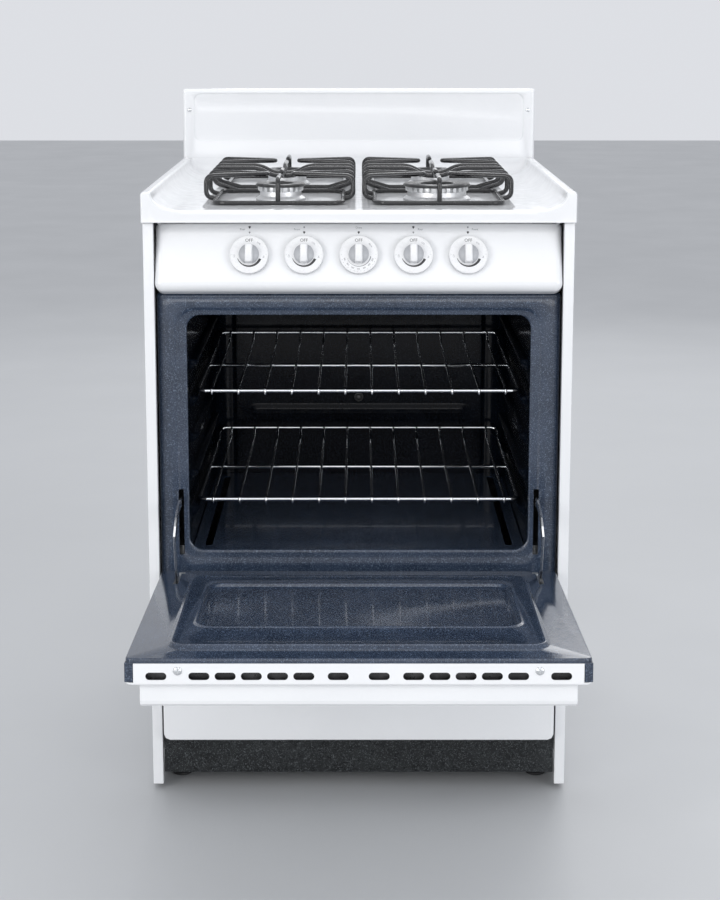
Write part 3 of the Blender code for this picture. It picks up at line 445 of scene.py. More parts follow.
def rod(bm, path, radius, facets=12, closed=False, dome=0.35):
    """A round bar along a path. Its open ends are domed by a share of the radius."""
    path = [Vector(p) for p in path]
    count = len(path)
    spine = [(point, 1.0) for point in path]
    if not closed:
        first, last = (path[0] - path[1]).normalized(), (path[-1] - path[-2]).normalized()
        tip = dome * radius
        spine = [(path[0] + first * tip, 0.55), (path[0] + first * tip * 0.6, 0.86), *spine,
                 (path[-1] + last * tip * 0.6, 0.86), (path[-1] + last * tip, 0.55)]
        count += 4
    rings = []
    side = None
    for k, (point, size) in enumerate(spine):
        after = spine[(k + 1) % count][0] if closed or k < count - 1 else point
        before = spine[k - 1][0] if closed or k > 0 else point
        along = (after - before).normalized()
        if side is None:
            side = Vector((0, 0, 1)) if abs(along.z) < 0.9 else along.orthogonal().normalized()
        side = (side - along * side.dot(along)).normalized()
        other = along.cross(side)
        turns = [2 * pi * (j + 0.5) / facets for j in range(facets)]
        rings.append([point + (side * cos(a) + other * sin(a)) * radius * size
                      for a in turns])
    if closed:
        rings.append(rings[0])
    loft(bm, rings, cap_first=not closed, cap_last=not closed)
    if closed:
        bmesh.ops.remove_doubles(bm, verts=bm.verts, dist=1e-6)


def as_given(a, b, c):
    return (a, b, c)


def along_y(a, b, c):
    return (a, c, b)


def slab(bm, outline, low, high, place=as_given):
    """A closed solid: an outline extruded from low to high."""
    loft(bm, [[place(a, b, level) for a, b in outline] for level in (low, high)],
         cap_first=True, cap_last=True)


def pressing(bm, rows, place=as_given):
    """A pan with a closed face, from (rectangle, growth, level) rows."""
    loft(bm, [[place(a, b, level) for a, b in rounded_ring(*grown(shape, amount), 8)]
              for shape, amount, level in rows], cap_last=True)


def box(bm, low, high):
    slab(bm, [(low[0], low[1]), (high[0], low[1]), (high[0], high[1]), (low[0], high[1])],
         low[2], high[2])


def round_arms(bm, margin, low, high):
    """Blocks round the door's two arms, from one (y, z) to another."""
    for side, _ in SIDES:
        arm_low, arm_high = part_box("door_arm_" + side)
        box(bm, (arm_low.x - margin, *low), (arm_high.x + margin, *high))


def facing_front(node, tilt=0.0):
    """A place at the rear end of a node's box, with z pointing to the front."""
    low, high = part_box(node)
    middle = (low + high) / 2
    spot = Matrix.Translation((middle.x, high.y, middle.z))
    return spot @ Matrix.Rotation(pi / 2 - tilt, 4, "X")


def settle(thing, **settings):
    """Sets a thing's properties, in the order given."""
    for name, value in settings.items():
        setattr(thing, name, value)


def add_object(name, data):
    obj = bpy.data.objects.new(name, data)
    bpy.context.scene.collection.objects.link(obj)
    return obj


def shade(mesh, angle):
    """Smooths a mesh except where its faces meet more sharply than the angle."""
    mesh.shade_smooth()
    mesh.set_sharp_from_angle(angle=radians(angle))


def make(name, bm, finish, where=CABINET, smooth=35):
    """Makes an object from a bmesh in one of the local frames."""
    bmesh.ops.recalc_face_normals(bm, faces=bm.faces)
    mesh = bpy.data.meshes.new(name)
    bm.to_mesh(mesh)
    bm.free()
    shade(mesh, smooth)
    mesh.materials.append(FINISH[finish])
    obj = add_object(name, mesh)
    obj.matrix_world = where
    return obj


def stands_for(obj, *nodes):
    """The piece rides on its first node's body and replaces the nodes."""
    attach(obj, BODY[nodes[0]])
    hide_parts(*nodes)
    return obj


def trim(obj, node):
    """A small extra piece that rides with a node."""
    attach(obj, BODY[node])
    return obj


def thicken(obj, depth, offset=-1.0):
    settle(obj.modifiers.new("sheet", "SOLIDIFY"), thickness=depth, offset=offset,
           use_even_offset=True)


def soften(obj, width, segments=3, **more):
    settle(obj.modifiers.new("edges", "BEVEL"), width=width, segments=segments,
           limit_method="ANGLE", angle_limit=radians(40), harden_normals=True, **more)


cutters = []    # helpers that carve() makes and apply_cuts() removes


def carve(obj, bm, self_cutting=False):
    """Cuts a hidden helper's shape out of the object."""
    other = make(obj.name + "_cutter", bm, "dark_enamel", obj.matrix_world.copy())
    cutters.append(other)
    settle(obj.modifiers.new("cut", "BOOLEAN"), operation="DIFFERENCE", solver="EXACT",
           use_self=self_cutting, object=other)


def apply_cuts():
    """Bakes the modifiers of every carved piece into its mesh and removes the helpers."""
    graph = bpy.context.evaluated_depsgraph_get()
    for obj in bpy.data.objects:
        if any(modifier.type == "BOOLEAN" for modifier in obj.modifiers):
            mesh = bpy.data.meshes.new_from_object(obj.evaluated_get(graph))
            obj.modifiers.clear()
            obj.data = mesh
            shade(mesh, 32)
    for other in cutters:
        bpy.data.objects.remove(other)


# ---- CAD nodes that keep their shape ----


def dress(node, edge=0.0006, segments=2):
    """Gives a CAD node its material, and rounds its edges."""
    obj = frame["nodes"][node]
    obj.data.materials.clear()
    obj.data.materials.append(FINISH[SLOT[node]])
    settle(obj.modifiers.new("weld", "WELD"), merge_threshold=0.00001)
    if edge:
        soften(obj, edge, segments, use_clamp_overlap=True)


def dress_kept_nodes():
    plain = {"side_panel_left": 0.0012, "side_panel_right": 0.0012, "back_panel": 0.0003,
             "base_frame": 0.0005, "kick_panel": 0.0008, "oven_floor": 0.0008,
             "drawer_front": 0.0028, "broiler_tray": 0.0008, "broiler_grid": 0.0006,
             "door_handle": 0.0012, "door_arm_left": 0.0005, "door_arm_right": 0.0005,
             "hinge_bracket_left": 0.0004, "hinge_bracket_right": 0.0004,
             "oven_burner": 0.0004, "flame_baffle": 0.0003, "gas_regulator": 0.0008,
             "gas_manifold": 0.0, "gas_supply_pipe": 0.0, "thermostat_bulb": 0.0,
             "oven_insulation": 0.004, "door_insulation": 0.003}
    for node, edge in plain.items():
        dress(node, edge, 3 if edge > 0.001 else 2)
    for node in frame["nodes"]:
        if node.startswith("valve_stem"):
            dress(node, 0.0003)


# ---- Cabinet ----


def cooktop_profile(half, rail_z, skirt_z):
    """Right half of the cooktop's section, from the middle to the foot of the skirt."""
    rail_in, cove_x, cove_z = half - 0.015, 0.038, 0.024
    foot = rail_in - cove_x
    flat = steps_between((0, 0.005, 0.0025), (0.005, 0.017, 0.0015), (0.017, 0.216, 0.006),
                         (0.216, 0.232, 0.0015), (0.232, foot, 0.006))
    points = [(x, TOP_Z) for x in flat[:-1]]
    points += arc((foot, TOP_Z + cove_z), (cove_x, cove_z), -90, -6, 12)
    points += arc((rail_in + 0.0035, rail_z - 0.0035), 0.0035, 165, 90, 4)
    points += arc((half - 0.0055, rail_z - 0.0055), 0.0055, 90, 0, 5)
    return points + [(half, (rail_z + skirt_z) / 2), (half, skirt_z)]


def outward(profile):
    """The normal at each point of an open section."""
    normals = []
    for k in range(len(profile)):
        before, after = profile[max(k - 1, 0)], profile[min(k + 1, len(profile) - 1)]
        along = Vector((after[0] - before[0], after[1] - before[1])).normalized()
        normals.append(Vector((-along.y, along.x)))
    return normals


def cooktop():
    """A pressed top: rails with hollow inner sides, two wells, a rear sweep and a rolled front."""
    low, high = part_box("cooktop")
    front, back = low.y - FRONT_Y, high.y - FRONT_Y
    rail, foot = high.z - TOP_Z, high.x - 0.055
    sweep_r, roll, rail_roll = 0.03, 0.006, 0.0028
    right = cooktop_profile(high.x, high.z, low.z)
    profile = [(-x, z) for x, z in reversed(right)] + right[1:]

    def height(x, z, y):
        """The section's height with the wells and the rear sweep worked in."""
        if z > TOP_Z + rail - 0.0001 or abs(x) > high.x - 0.009:
            return z
        box_low, box_high = (WELL_X[0], WELL_Y[0]), (WELL_X[1], WELL_Y[1])
        drop = WELL_DROP * smooth_step(inside_by(abs(x), y, box_low, box_high, WELL_R) / 0.006)
        behind = max(y - (back - sweep_r), 0.0)
        rise = sweep_r - sqrt(max(sweep_r ** 2 - behind ** 2, 0.0))
        return TOP_Z + min(rail, hypot(z - TOP_Z, rise)) - drop

    rows = steps_between((back, back - sweep_r, -0.0025), (back - sweep_r, 0.552, -0.006),
                         (0.552, 0.532, -0.0015), (0.532, 0.022, -0.01),
                         (0.022, 0.01, -0.0015), (0.01, front + roll, -0.003))
    rings = [[(x, y, height(x, z, y)) for x, z in profile] for y in rows]
    normals = outward(profile)
    for k in range(1, 7):
        turn = radians(15 * k)
        y = front + roll - roll * sin(turn)
        ring = []
        for (x, z), n in zip(profile, normals):
            reach = roll if z < TOP_Z + 0.01 and abs(x) < foot else rail_roll
            inset = reach * (1 - cos(turn))
            ring.append((x - n.x * inset, y, height(x, z, y) - n.y * inset))
        rings.append(ring)
    rings.append([(x, front, low.z) for x, _, _ in rings[-1]])
    bm = bmesh.new()
    loft(bm, rings, closed=False)
    bmesh.ops.remove_doubles(bm, verts=bm.verts, dist=2e-5)
    bmesh.ops.dissolve_degenerate(bm, edges=bm.edges, dist=1e-6)
    obj = make("cooktop_top", bm, "white_enamel", smooth=60)
    thicken(obj, SHEET)
    holes = bmesh.new()
    for x, y in burner_places().values():
        slab(holes, arc((x, y), 0.024, 0, 352.5, 47), TOP_Z - 0.01, TOP_Z + 0.01)
    carve(obj, holes)
    stands_for(obj, "cooktop")


def burner_places():
    """Each burner's x and y in the cabinet's frame, from its CAD box."""
    places = {}
    for end in ("front", "rear"):
        for name, _ in SIDES:
            low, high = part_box(f"burner_base_{end}_{name}")
            middle = (low + high) / 2
            places[f"{end}_{name}"] = (middle.x, middle.y - FRONT_Y)
    return places


def backguard():
    """A pressed upright with rounded edges, a field pressed into its front and two screws."""
    low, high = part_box("backguard")
    wall, back = low.y - FRONT_Y + 0.0014, high.y - FRONT_Y
    outer = ((low.x, low.z), (high.x, high.z), 0.005)
    field = ((low.x + 0.019, high.z - 0.0905), (high.x - 0.019, high.z - 0.0065), 0.013)
    rows = [(outer, -0.01, back - 0.001), (outer, -0.0015, back), (outer, 0, back - 0.0015)]
    rows += [(outer, -inset, wall + left) for inset, left in quarter(0.0055, 6)]
    rows += [(field, 0, wall), (field, -0.0006, wall + 0.0004), (field, -0.0018, wall + 0.0016),
             (field, -0.003, wall + 0.002)]
    bm = bmesh.new()
    pressing(bm, rows, along_y)
    obj = make("backguard_shell", bm, "white_enamel", smooth=50)
    thicken(obj, SHEET)
    stands_for(obj, "backguard")
    for name, sign in SIDES:
        bm = bmesh.new()
        lathe(bm, [(0.0, 0.0022), (0.0012, 0.0021), (0.003, 0.0013), (0.0036, 0.0)], 24)
        place = CABINET @ Matrix.Translation((sign * 0.293, wall, high.z - 0.036))
        screw = make("backguard_screw_" + name, bm, "bright_steel",
                     place @ Matrix.Rotation(pi / 2, 4, "X"))
        thicken(screw, 0.0004)
        trim(screw, "backguard")


def front_frame():
    """The oven's face frame: a recessed lip round the mouth and a full, rounded band outside."""
    low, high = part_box("front_frame")
    side, below, above = high.x - MOUTH[1][0], MOUTH[0][1] - low.z, high.z - MOUTH[1][1]
    face, back = low.y - FRONT_Y, high.y - FRONT_Y
    lip, lip_above = 0.0128, 0.0079
    steps = [(0.0, back + 0.0002), (0.0, back - 0.002), (0.0004, back - 0.0034),
             (0.0016, back - 0.0044), (0.004, back - 0.0048), (0.011, back - 0.0048),
             (lip, back - 0.0053), (0.015, face + 0.0012), (0.0185, face + 0.0004),
             (0.024, face), (0.033, face + 0.0001), (0.0375, face + 0.0007),
             (0.04, face + 0.0022), (side, face + 0.005), (side, back)]
    rings = []
    for grow, y in steps:
        share = max(grow - lip, 0.0) / (side - lip)
        near = min(grow, lip)
        amount = (grow, near + share * (below - lip), near * 0.62 + share * (above - lip_above))
        shape_low, shape_high, _ = grown(MOUTH, amount)
        radius = MOUTH[2] + near * 0.4 if grow < 0.02 else MOUTH[2] * (1 - share) + 0.006
        rings.append([(x, y, z) for x, z in rounded_ring(shape_low, shape_high, radius, 8)])
    bm = bmesh.new()
    loft(bm, rings)
    obj = make("oven_face_frame", bm, "dark_enamel", smooth=60)
    thicken(obj, 0.001)
    slots = bmesh.new()
    round_arms(slots, ARM_GAP, (-0.02, 0.356), (0.06, 0.454))
    carve(obj, slots)
    stands_for(obj, "front_frame")


def ledge(y, z):
    """How far the oven's side wall is pressed in for the rack ledges."""
    ends = smooth_step((y - 0.06) / 0.016) * smooth_step((0.47 - y) / 0.016)
    rise = 0.0
    for level in RACK_LEVELS:
        under = (level - 0.0034) - z
        if -0.003 < under < 0.024:
            top = smooth_step((under + 0.001) / 0.0022)
            fall = 1.0 - smooth_step((under - 0.004) / 0.017)
            rise = max(rise, top * fall)
    return 0.0118 * ends * rise


def oven_section():
    """(x, z, share of the ledges' depth) up the right wall, over the roof and down the left."""
    corner = 0.014
    lowest, highest = RACK_LEVELS[0] - 0.03, RACK_LEVELS[-1] + 0.004
    center = (CAVITY_HALF - corner, CAVITY_TOP - corner)
    wall = steps_between((CAVITY_LOW, lowest, 0.008), (lowest, highest, 0.0016),
                         (highest, center[1], 0.008))
    right = [(CAVITY_HALF, z, 1.0) for z in wall[:-1]]
    right += [(x, z, 0.0) for x, z in arc(center, corner, 0, 90, 6)]
    right += [(x, CAVITY_TOP, 0.0) for x in steps_between((center[0] - 0.02, 0, -0.04))]
    return right + [(-x, z, share) for x, z, share in reversed(right[:-1])]


def oven_liner():
    """The pressed oven box: pressed-in rack ledges, rounded corners and a beaded back wall."""
    section = oven_section()
    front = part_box("oven_liner")[0].y - FRONT_Y
    rows = steps_between((front, 0.058, 0.008), (0.058, 0.078, 0.0025), (0.078, 0.452, 0.015),
                         (0.452, 0.472, 0.0025), (0.472, CAVITY_BACK - REAR_R, 0.008))
    rings = [[(x - copysign(ledge(y, z) * share, x), y, z) for x, z, share in section]
             for y in rows]
    for inset, left in quarter(REAR_R, 8, 1):
        rings.append([(x * (CAVITY_HALF - inset) / CAVITY_HALF, CAVITY_BACK - left,
                       z - inset * smooth_step((z - 0.6) / (CAVITY_TOP - 0.6)))
                      for x, z, _ in section])
    bm = bmesh.new()
    loft(bm, rings, closed=False)

    def back_wall(x, z):
        bead = inside_by(x, z, (-0.19, 0.448), (0.19, 0.474), 0.012)
        return (x, CAVITY_BACK - 0.0016 * smooth_step(bead / 0.011), z)

    flat = CAVITY_HALF - REAR_R
    across = steps_between((-flat, -0.17, 0.0035), (-0.17, 0.17, 0.03), (0.17, flat, 0.0035))
    up = steps_between((CAVITY_LOW, 0.447, 0.01), (0.447, 0.475, 0.0014),
                       (0.475, CAVITY_TOP - REAR_R, 0.02))
    grid(bm, across, up, back_wall)
    bmesh.ops.remove_doubles(bm, verts=bm.verts, dist=0.00002)
    # The liner's near-black finish is painted shade for the inside of the oven.
    obj = make("oven_liner_shell", bm, "oven_enamel", smooth=60)
    thicken(obj, 0.0011, 1.0)
    stands_for(obj, "oven_liner")


def burner_compartment():
    """Dark sheets behind the slots in the oven's floor and in the face frame: painted shade, so
    the slots read black.
    """
    half, low, high, back = 0.25, 0.218, 0.3412, 0.524
    bm = bmesh.new()
    for _, sign in SIDES:
        wall, shade_screen = sign * half, sign * 0.2705
        box(bm, (wall - 0.0004, 0.03, low), (wall + 0.0004, back, high))
        box(bm, (shade_screen - 0.0175, 0.15, 0.33), (shade_screen + 0.0175, 0.1508, 0.5))
    box(bm, (-half, back, low), (half, back + 0.0008, high))
    # The black finish on these sheets is painted shade seen through the slots.
    trim(make("burner_compartment", bm, "cap_enamel"), "oven_liner")


def liner_fastener():
    """The vented round stud in the oven's back wall."""
    bm = bmesh.new()
    lathe(bm, [(0.008, 0.0), (0.008, 0.0014), (0.0074, 0.0021), (0.0058, 0.0023),
               (0.0052, 0.0036), (0.0045, 0.0048), (0.003, 0.0054), (0.0, 0.0055)], 40)
    for center in arc((0, 0), 0.0066, 0, 300, 5):
        lathe(bm, [(0.0009, 0.002), (0.0008, 0.0028), (0.0, 0.003)], 10, center)
    place = facing_front("liner_fastener")
    stands_for(make("back_wall_stud", bm, "black_steel", place), "liner_fastener")


def levelling_feet():
    """A pad with a grooved rim, a hexagon above it and a threaded stud."""
    for node in [n for n in frame["nodes"] if n.startswith("levelling_foot")]:
        low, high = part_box(node)
        middle, radius = (low + high) / 2, (high.x - low.x) / 2
        bm = bmesh.new()
        lathe(bm, [(0.0, 0.0), (radius - 0.001, 0.0), (radius, 0.0008), (radius, 0.0042),
                   (radius - 0.0012, 0.0052), (0.0105, 0.0078), (0.01, 0.0082)], 48)
        slab(bm, arc((0, 0), 0.0095, 0, 300, 5), 0.008, 0.0198)
        lathe(bm, [(0.004, 0.0196)] + [(0.004 - 0.0005 * (k % 2), 0.02 + 0.0006 * k)
                                         for k in range(48)] + [(0.0, 0.0492)], 16)
        place = Matrix.Translation((middle.x, middle.y, 0))
        stands_for(make(node.replace("levelling", "screw"), bm, "black_steel", place), node)


# ---- Burners and grates ----


def burner(key, x, y):
    """A cast body with flame ports under its rim, and a ring-shaped cap."""
    low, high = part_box("burner_cap_" + key)
    cap_r = (high.x - low.x) / 2
    teeth = round(cap_r * 560)
    rim, floor = cap_r - 0.0045, TOP_Z - WELL_DROP + 0.0003
    profile = [(0.0, floor - 0.04), (0.0215, floor - 0.04), (0.0215, floor)]
    profile += [(rim + out, floor + up) for out, up in (
        (0.004, 0.0), (0.004, 0.002), (0.0016, 0.004), (-0.0016, 0.006))]
    port_rows = range(len(profile) + 1, len(profile) + 4)
    profile += [(rim + out, CAP_Z - under) for out, under in (
        (-0.002, 0.0074), (0.0006, 0.0064), (0.001, 0.0056), (0.001, 0.0003))]
    profile += [(cap_r * share, CAP_Z - under) for share, under in (
        (0.52, 0.0003), (0.5, 0.0012), (0.47, 0.0075), (0.3, 0.0085), (0.28, 0.0055),
        (0.17, 0.0045), (0.12, 0.008), (0.0, 0.0082))]

    def ports(turn, k):
        """Slots between the teeth, cut only in the rows just under the cap."""
        if k not in port_rows:
            return 0.0
        return -0.0055 * smooth_step(2.4 * (cos(teeth * turn) - 0.05))

    bm = bmesh.new()
    lathe(bm, profile, teeth * 12, wave=ports)
    place = CABINET @ Matrix.Translation((x, y, 0))
    body = make("burner_body_" + key, bm, "aluminium", place, smooth=30)
    stands_for(body, "burner_base_" + key)
    bm = bmesh.new()
    hole, top = cap_r * 0.5, CAP_Z + 0.0045
    lathe(bm, [(hole, CAP_Z), (cap_r - 0.0012, CAP_Z), (cap_r - 0.0003, CAP_Z + 0.0004),
               (cap_r, CAP_Z + 0.0013), (cap_r - 0.0004, CAP_Z + 0.0026),
               (cap_r - 0.0022, top - 0.0004), (cap_r - 0.004, top), (hole + 0.003, top),
               (hole + 0.001, top - 0.0005), (hole, top - 0.0016), (hole, CAP_Z)], 96)
    bmesh.ops.remove_doubles(bm, verts=bm.verts, dist=1e-6)
    stands_for(make("burner_ring_" + key, bm, "cap_enamel", place), "burner_cap_" + key)


def hairpin(sign):
    """A finger bent double: up out of the ring, in to the burner, round its tip and back."""
    tip = 0.0055
    start = (sign * (GRATE_HALF - 0.0012), 0.038, GRATE_LOW)
    prong = bent([start, (sign * GRATE_OUT, 0.038, GRATE_LOW + 0.004),
                  (sign * GRATE_OUT, 0.038, GRATE_HIGH), (sign * 0.025, tip, GRATE_HIGH)], 0.011)
    turn = [Vector((sign * x, y, GRATE_HIGH)) for x, y in arc((0.025, 0), tip, 108, 252, 8)]
    return prong + turn + [Vector((x, -y, z)) for x, y, z in reversed(prong)]


def grate(key, x, y, back):
    """back is 1 on a front grate and -1 on a rear one: the dipped bar lies at the middle."""
    half, low, high = GRATE_HALF, GRATE_LOW, GRATE_HIGH
    edge, far, dip = back * half, back * 0.1, high - 0.012
    half_bar = [(0.07, edge, low), (GRATE_OUT, far, low + 0.012), (GRATE_OUT, far, high),
                (0.038, far, high), (0.016, far, dip)]
    bar = half_bar + [(-a, b, c) for a, b, c in reversed(half_bar)]
    near_finger = [(0, -edge, low), (0, -edge, high), (0, -back * 0.03, high)]
    far_finger = [(0, far, dip), (0, back * 0.082, high), (0, back * 0.03, high)]
    bm = bmesh.new()
    ring = rounded_ring((-half, -half), (half, half), 0.02, 7)
    rod(bm, [(a, b, low) for a, b in ring], GRATE_ROD, closed=True)
    for path in (near_finger, bar, far_finger):
        rod(bm, bent(path, 0.011), GRATE_ROD)
    for _, sign in SIDES:
        rod(bm, hairpin(sign), GRATE_ROD)
    place = CABINET @ Matrix.Translation((x, y, 0))
    stands_for(make("wire_grate_" + key, bm, "black_enamel", place, 60), "grate_" + key)


def burners_and_grates():
    for key, (x, y) in burner_places().items():
        burner(key, x, y)
        grate(key, x, y, 1 if key.startswith("front") else -1)


# ---- Controls ----


def control_panel():
    """A pressed fascia with rounded corners, rolled under along its lower edge."""
    half, down, up, deep, lip = 0.289, 0.05, 0.048, 0.026, 0.006
    outline = []
    for center, start, radius in (((-half, -down), 180, 0.012), ((half, -down), 270, 0.012),
                                  ((half, up), 0, 0.007), ((-half, up), 90, 0.007)):
        cx = center[0] - copysign(radius, center[0])
        cy = center[1] - copysign(radius, center[1])
        for k in range(13):
            turn = radians(start + 90 * k / 12)
            out = Vector((cos(turn), sin(turn)))
            low_share = max(-out.y, 0.0) ** 2
            outline.append((Vector((cx, cy)) + out * radius, out, low_share))

    def ring(turn):
        """turn runs from 0 on the rim's side wall to 90 degrees on the face."""
        points = []
        for place, out, low_share in outline:
            radius = 0.0035 + 0.0095 * low_share + 0.0065 * out.x ** 2
            inset = radius * (1 - cos(turn))
            flat = place - out * inset
            points.append((flat.x, flat.y, -radius * (1 - sin(turn))))
        return points

    bm = bmesh.new()
    rim = [(place.x, place.y, -deep) for place, _, _ in outline]
    inner = [(place.x - out.x * lip, place.y - out.y * lip, -deep) for place, out, _ in outline]
    rings = [inner, rim] + [ring(radians(90 * k / 8)) for k in range(9)]
    loft(bm, rings, cap_last=True)
    obj = make("control_fascia", bm, "white_enamel", PANEL, smooth=50)
    thicken(obj, 0.0014)
    holes = bmesh.new()
    for _, x in knob_places():
        slab(holes, arc((x, 0), 0.005, 0, 345, 23), -0.01, 0.01)
    carve(obj, holes)
    stands_for(obj, "control_panel")


def knob_places():
    """Each knob's name and its x on the panel."""
    names = ("rear_left", "front_left", "oven", "rear_right", "front_right")
    return [(name, JOINT[f"knob_{name}_turn"]["pos_m"][0]) for name in names]


def letters(bm, text, size, where):
    """Adds flat raised lettering, centred on where."""
    curve = bpy.data.curves.new("letters", "FONT")
    settle(curve, body=text, size=size, extrude=INK / 2, align_x="CENTER", align_y="CENTER",
           resolution_u=3)
    obj = add_object("letters", curve)
    graph = bpy.context.evaluated_depsgraph_get()
    mesh = bpy.data.meshes.new_from_object(obj.evaluated_get(graph))
    mesh.transform(where @ Matrix.Translation((0, 0, INK / 2)))
    bm.from_mesh(mesh)
    bpy.data.objects.remove(obj)
    bpy.data.meshes.remove(mesh)


def around(turn, radius, height):
    """A place on a dial, turned so that what stands there points away from its centre."""
    a = radians(turn)
    spot = Matrix.Translation((radius * cos(a), radius * sin(a), height))
    return spot @ Matrix.Rotation(a - pi / 2, 4, "Z")


def ribbon(bm, radius, start, end, widths):
    """A printed band along an arc of a knob's skirt, from one width to another."""
    outer, inner, count = [], [], 28
    for k in range(count + 1):
        share = k / count
        a = radians(start + (end - start) * share)
        width = widths[0] + (widths[1] - widths[0]) * share ** 0.8
        for edge, reach in ((outer, radius + width / 2), (inner, radius - width / 2)):
            edge.append((reach * cos(a), reach * sin(a)))
    slab(bm, outer + inner[::-1], KNOB_TOP, KNOB_TOP + INK)


def tick(bm, turn, half_wide, half_long):
    """A short printed line near the rim of a knob's skirt."""
    place = around(turn, 0.0243, 0)
    shape = rounded_ring((-half_wide, -half_long), (half_wide, half_long), 0.00005, 1)
    slab(bm, shape, KNOB_TOP, KNOB_TOP + INK, lambda a, b, c: place @ Vector((a, b, c)))


def dial_marks(name):
    """What is printed on a knob's skirt, as very thin raised ink."""
    dark, pale = bmesh.new(), bmesh.new()

    def word(bm, text, size, turn, radius):
        letters(bm, text, size, around(turn, radius, KNOB_TOP))

    word(dark, "OFF", 0.0064, 90, 0.0203)
    for turn in (0, 180):
        tick(pale, turn, 0.0001, 0.0009)
    if name == "oven":
        for k, degrees in enumerate(range(200, 501, 50)):
            word(dark, str(degrees), 0.0029, 200 + 23 * k, 0.0208)
        for k in range(14):
            tick(dark, 197 + 11.5 * k, 0.00015, 0.0006)
        word(pale, "BROIL", 0.0026, 38, 0.0212)
        ribbon(pale, 0.0172, 196, 350, (0.0002, 0.0012))
    else:
        ribbon(dark, 0.017, 200, 338, (0.0006, 0.0036))
        word(pale, "LITE", 0.003, 50, 0.0208)
        word(pale, "HI", 0.0032, -10, 0.021)
        word(pale, "LO", 0.0032, 186, 0.021)
    return dark, pale


# Rows up the grip bar: height, half width, half length, corner radius
GRIP = ((0.0045, 0.0066, 0.0136, 0.004), (0.0095, 0.006, 0.0136, 0.0036),
        (0.0145, 0.0053, 0.0134, 0.0032), (0.0175, 0.005, 0.0131, 0.003),
        (0.0185, 0.0046, 0.0127, 0.0028), (0.019, 0.004, 0.012, 0.0025))
GRIP_ARCH = 10.0    # how strongly the bar is arched along its length, per metre
# Rows up the shoulders: height above the skirt, radius
SHOULDERS = ((0.0021, 0.0142), (0.005, 0.0141), (0.0056, 0.0136), (0.0088, 0.0068))


def knob(name, place):
    """A moulded knob: a flat skirt with a fine rim, a round hub and a tapered grip bar."""
    low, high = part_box("knob_" + name)
    radius, base, top = (high.x - low.x) / 2, KNOB_OFF, KNOB_TOP
    bm = bmesh.new()
    lathe(bm, [(0.015, base + 0.0012), (0.016, base), (radius - 0.0006, base),
               (radius, base + 0.0006), (radius, base + 0.004), (radius - 0.0003, base + 0.0045),
               (radius - 0.001, base + 0.0046), (radius - 0.0014, base + 0.0041),
               (radius - 0.0017, top), (0.0152, top), (0.0147, top + 0.0003),
               (0.0145, top + 0.001), (0.0144, top + 0.0022), (0.0, top + 0.0022)], 72)
    bars = []
    for z, half_x, half_y, corner in GRIP:
        outline = rounded_ring((-half_x, -half_y), (half_x, half_y), corner, 5)
        bars.append([(a, b, base + z - GRIP_ARCH * b ** 2) for a, b in outline])
    loft(bm, bars, cap_first=True, cap_last=True)
    stands_for(make("dial_" + name, bm, "white_plastic", place, smooth=45), "knob_" + name)


def shoulders(name, place):
    """The slopes at both sides of a knob's grip bar, greyed as painted shade."""
    bm = bmesh.new()
    for _, sign in SIDES:
        rings = []
        for z, reach in SHOULDERS:
            side = [(sign * max(a, 0.0048), b) for a, b in arc((0, 0), reach, -68, 68, 24)]
            rings.append([(a, b, KNOB_TOP + z) for a, b in side + [(sign * 0.004, 0.0)]])
        loft(bm, rings, cap_first=True, cap_last=True)
    # The grey finish here is painted shade on the shoulders.
    obj = make("shoulders_" + name, bm, "grey_plastic", place, 40)
    trim(obj, "knob_" + name)


def knobs():
    for name, x in knob_places():
        place = PANEL @ Matrix.Translation((x, 0, 0))
        knob(name, place)
        shoulders(name, place)
        for finish, marks in zip(("print_ink", "pale_ink"), dial_marks(name)):
            trim(make(f"dial_{finish}_{name}", marks, finish, place), "knob_" + name)


def panel_marks():
    """The words and the two rows of small pointers printed above the knobs."""
    dark, pale = bmesh.new(), bmesh.new()
    near, far, base = 0.0335, 0.041, 0.00002
    for name, x in knob_places():
        word = name.split("_")[0].title()
        strong = far if word == "Rear" else near
        pointers = [(dark, strong, 0.0019)]
        where = (x, 0.0405, base)
        if name != "oven":
            pointers.append((pale, near + far - strong, 0.0014))
            where = (x + (0.01 if name.endswith("right") else -0.01), 0.0382, base)
        letters(pale, word, 0.004, Matrix.Translation(where))
        for bm, y, size in pointers:
            slab(bm, [(x, y - size * 1.1), (x + size, y + size * 0.4), (x + size * 0.5, y + size),
                      (x - size * 0.5, y + size), (x - size, y + size * 0.4)], base, base + INK)
    for bm, finish in ((dark, "print_ink"), (pale, "pale_ink")):
        trim(make("fascia_" + finish, bm, finish, PANEL), "control_panel")


# ---- Racks ----


def rack(node, title):
    """A chromed wire rack with its lip turned up at the back."""
    low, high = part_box(node)
    bar, wire = 0.003, 0.002
    half = high.x - bar
    front, back = low.y + bar - FRONT_Y, high.y - bar - FRONT_Y
    level, rise, up = low.z + bar, 0.018, low.z + 2 * bar
    bm = bmesh.new()
    half_frame = [(0, front, level), (half, front, level), (half, back - 0.036, level),
                  (half - 0.002, back - 0.012, level + rise), (0, back - 0.012, level + rise)]
    frame_path = bent(half_frame, 0.012)
    frame_path += [Vector((-p.x, p.y, p.z)) for p in reversed(frame_path[1:-1])]
    rod(bm, frame_path, bar, closed=True)
    middle = front + 0.48 * (back - front)
    rod(bm, [(-half, middle, level), (half, middle, level)], bar)
    count = 12
    for k in range(count):
        x = -half + 0.021 + k * (2 * half - 0.042) / (count - 1)
        path = [(x, front - 0.0036, level - 0.0045), (x, front - 0.0036, up + 0.0006),
                (x, front + 0.009, up + 0.0002), (x, back - 0.042, up + 0.0002),
                (x, back - 0.0125, level + rise + wire)]
        rod(bm, bent(path, 0.0042, 4), wire, 8)
    stands_for(make(title, bm, "chrome", smooth=60), node)


def racks():
    for level in ("lower", "upper"):
        rack("oven_rack_" + level, "wire_rack_" + level)


# ---- Door ----


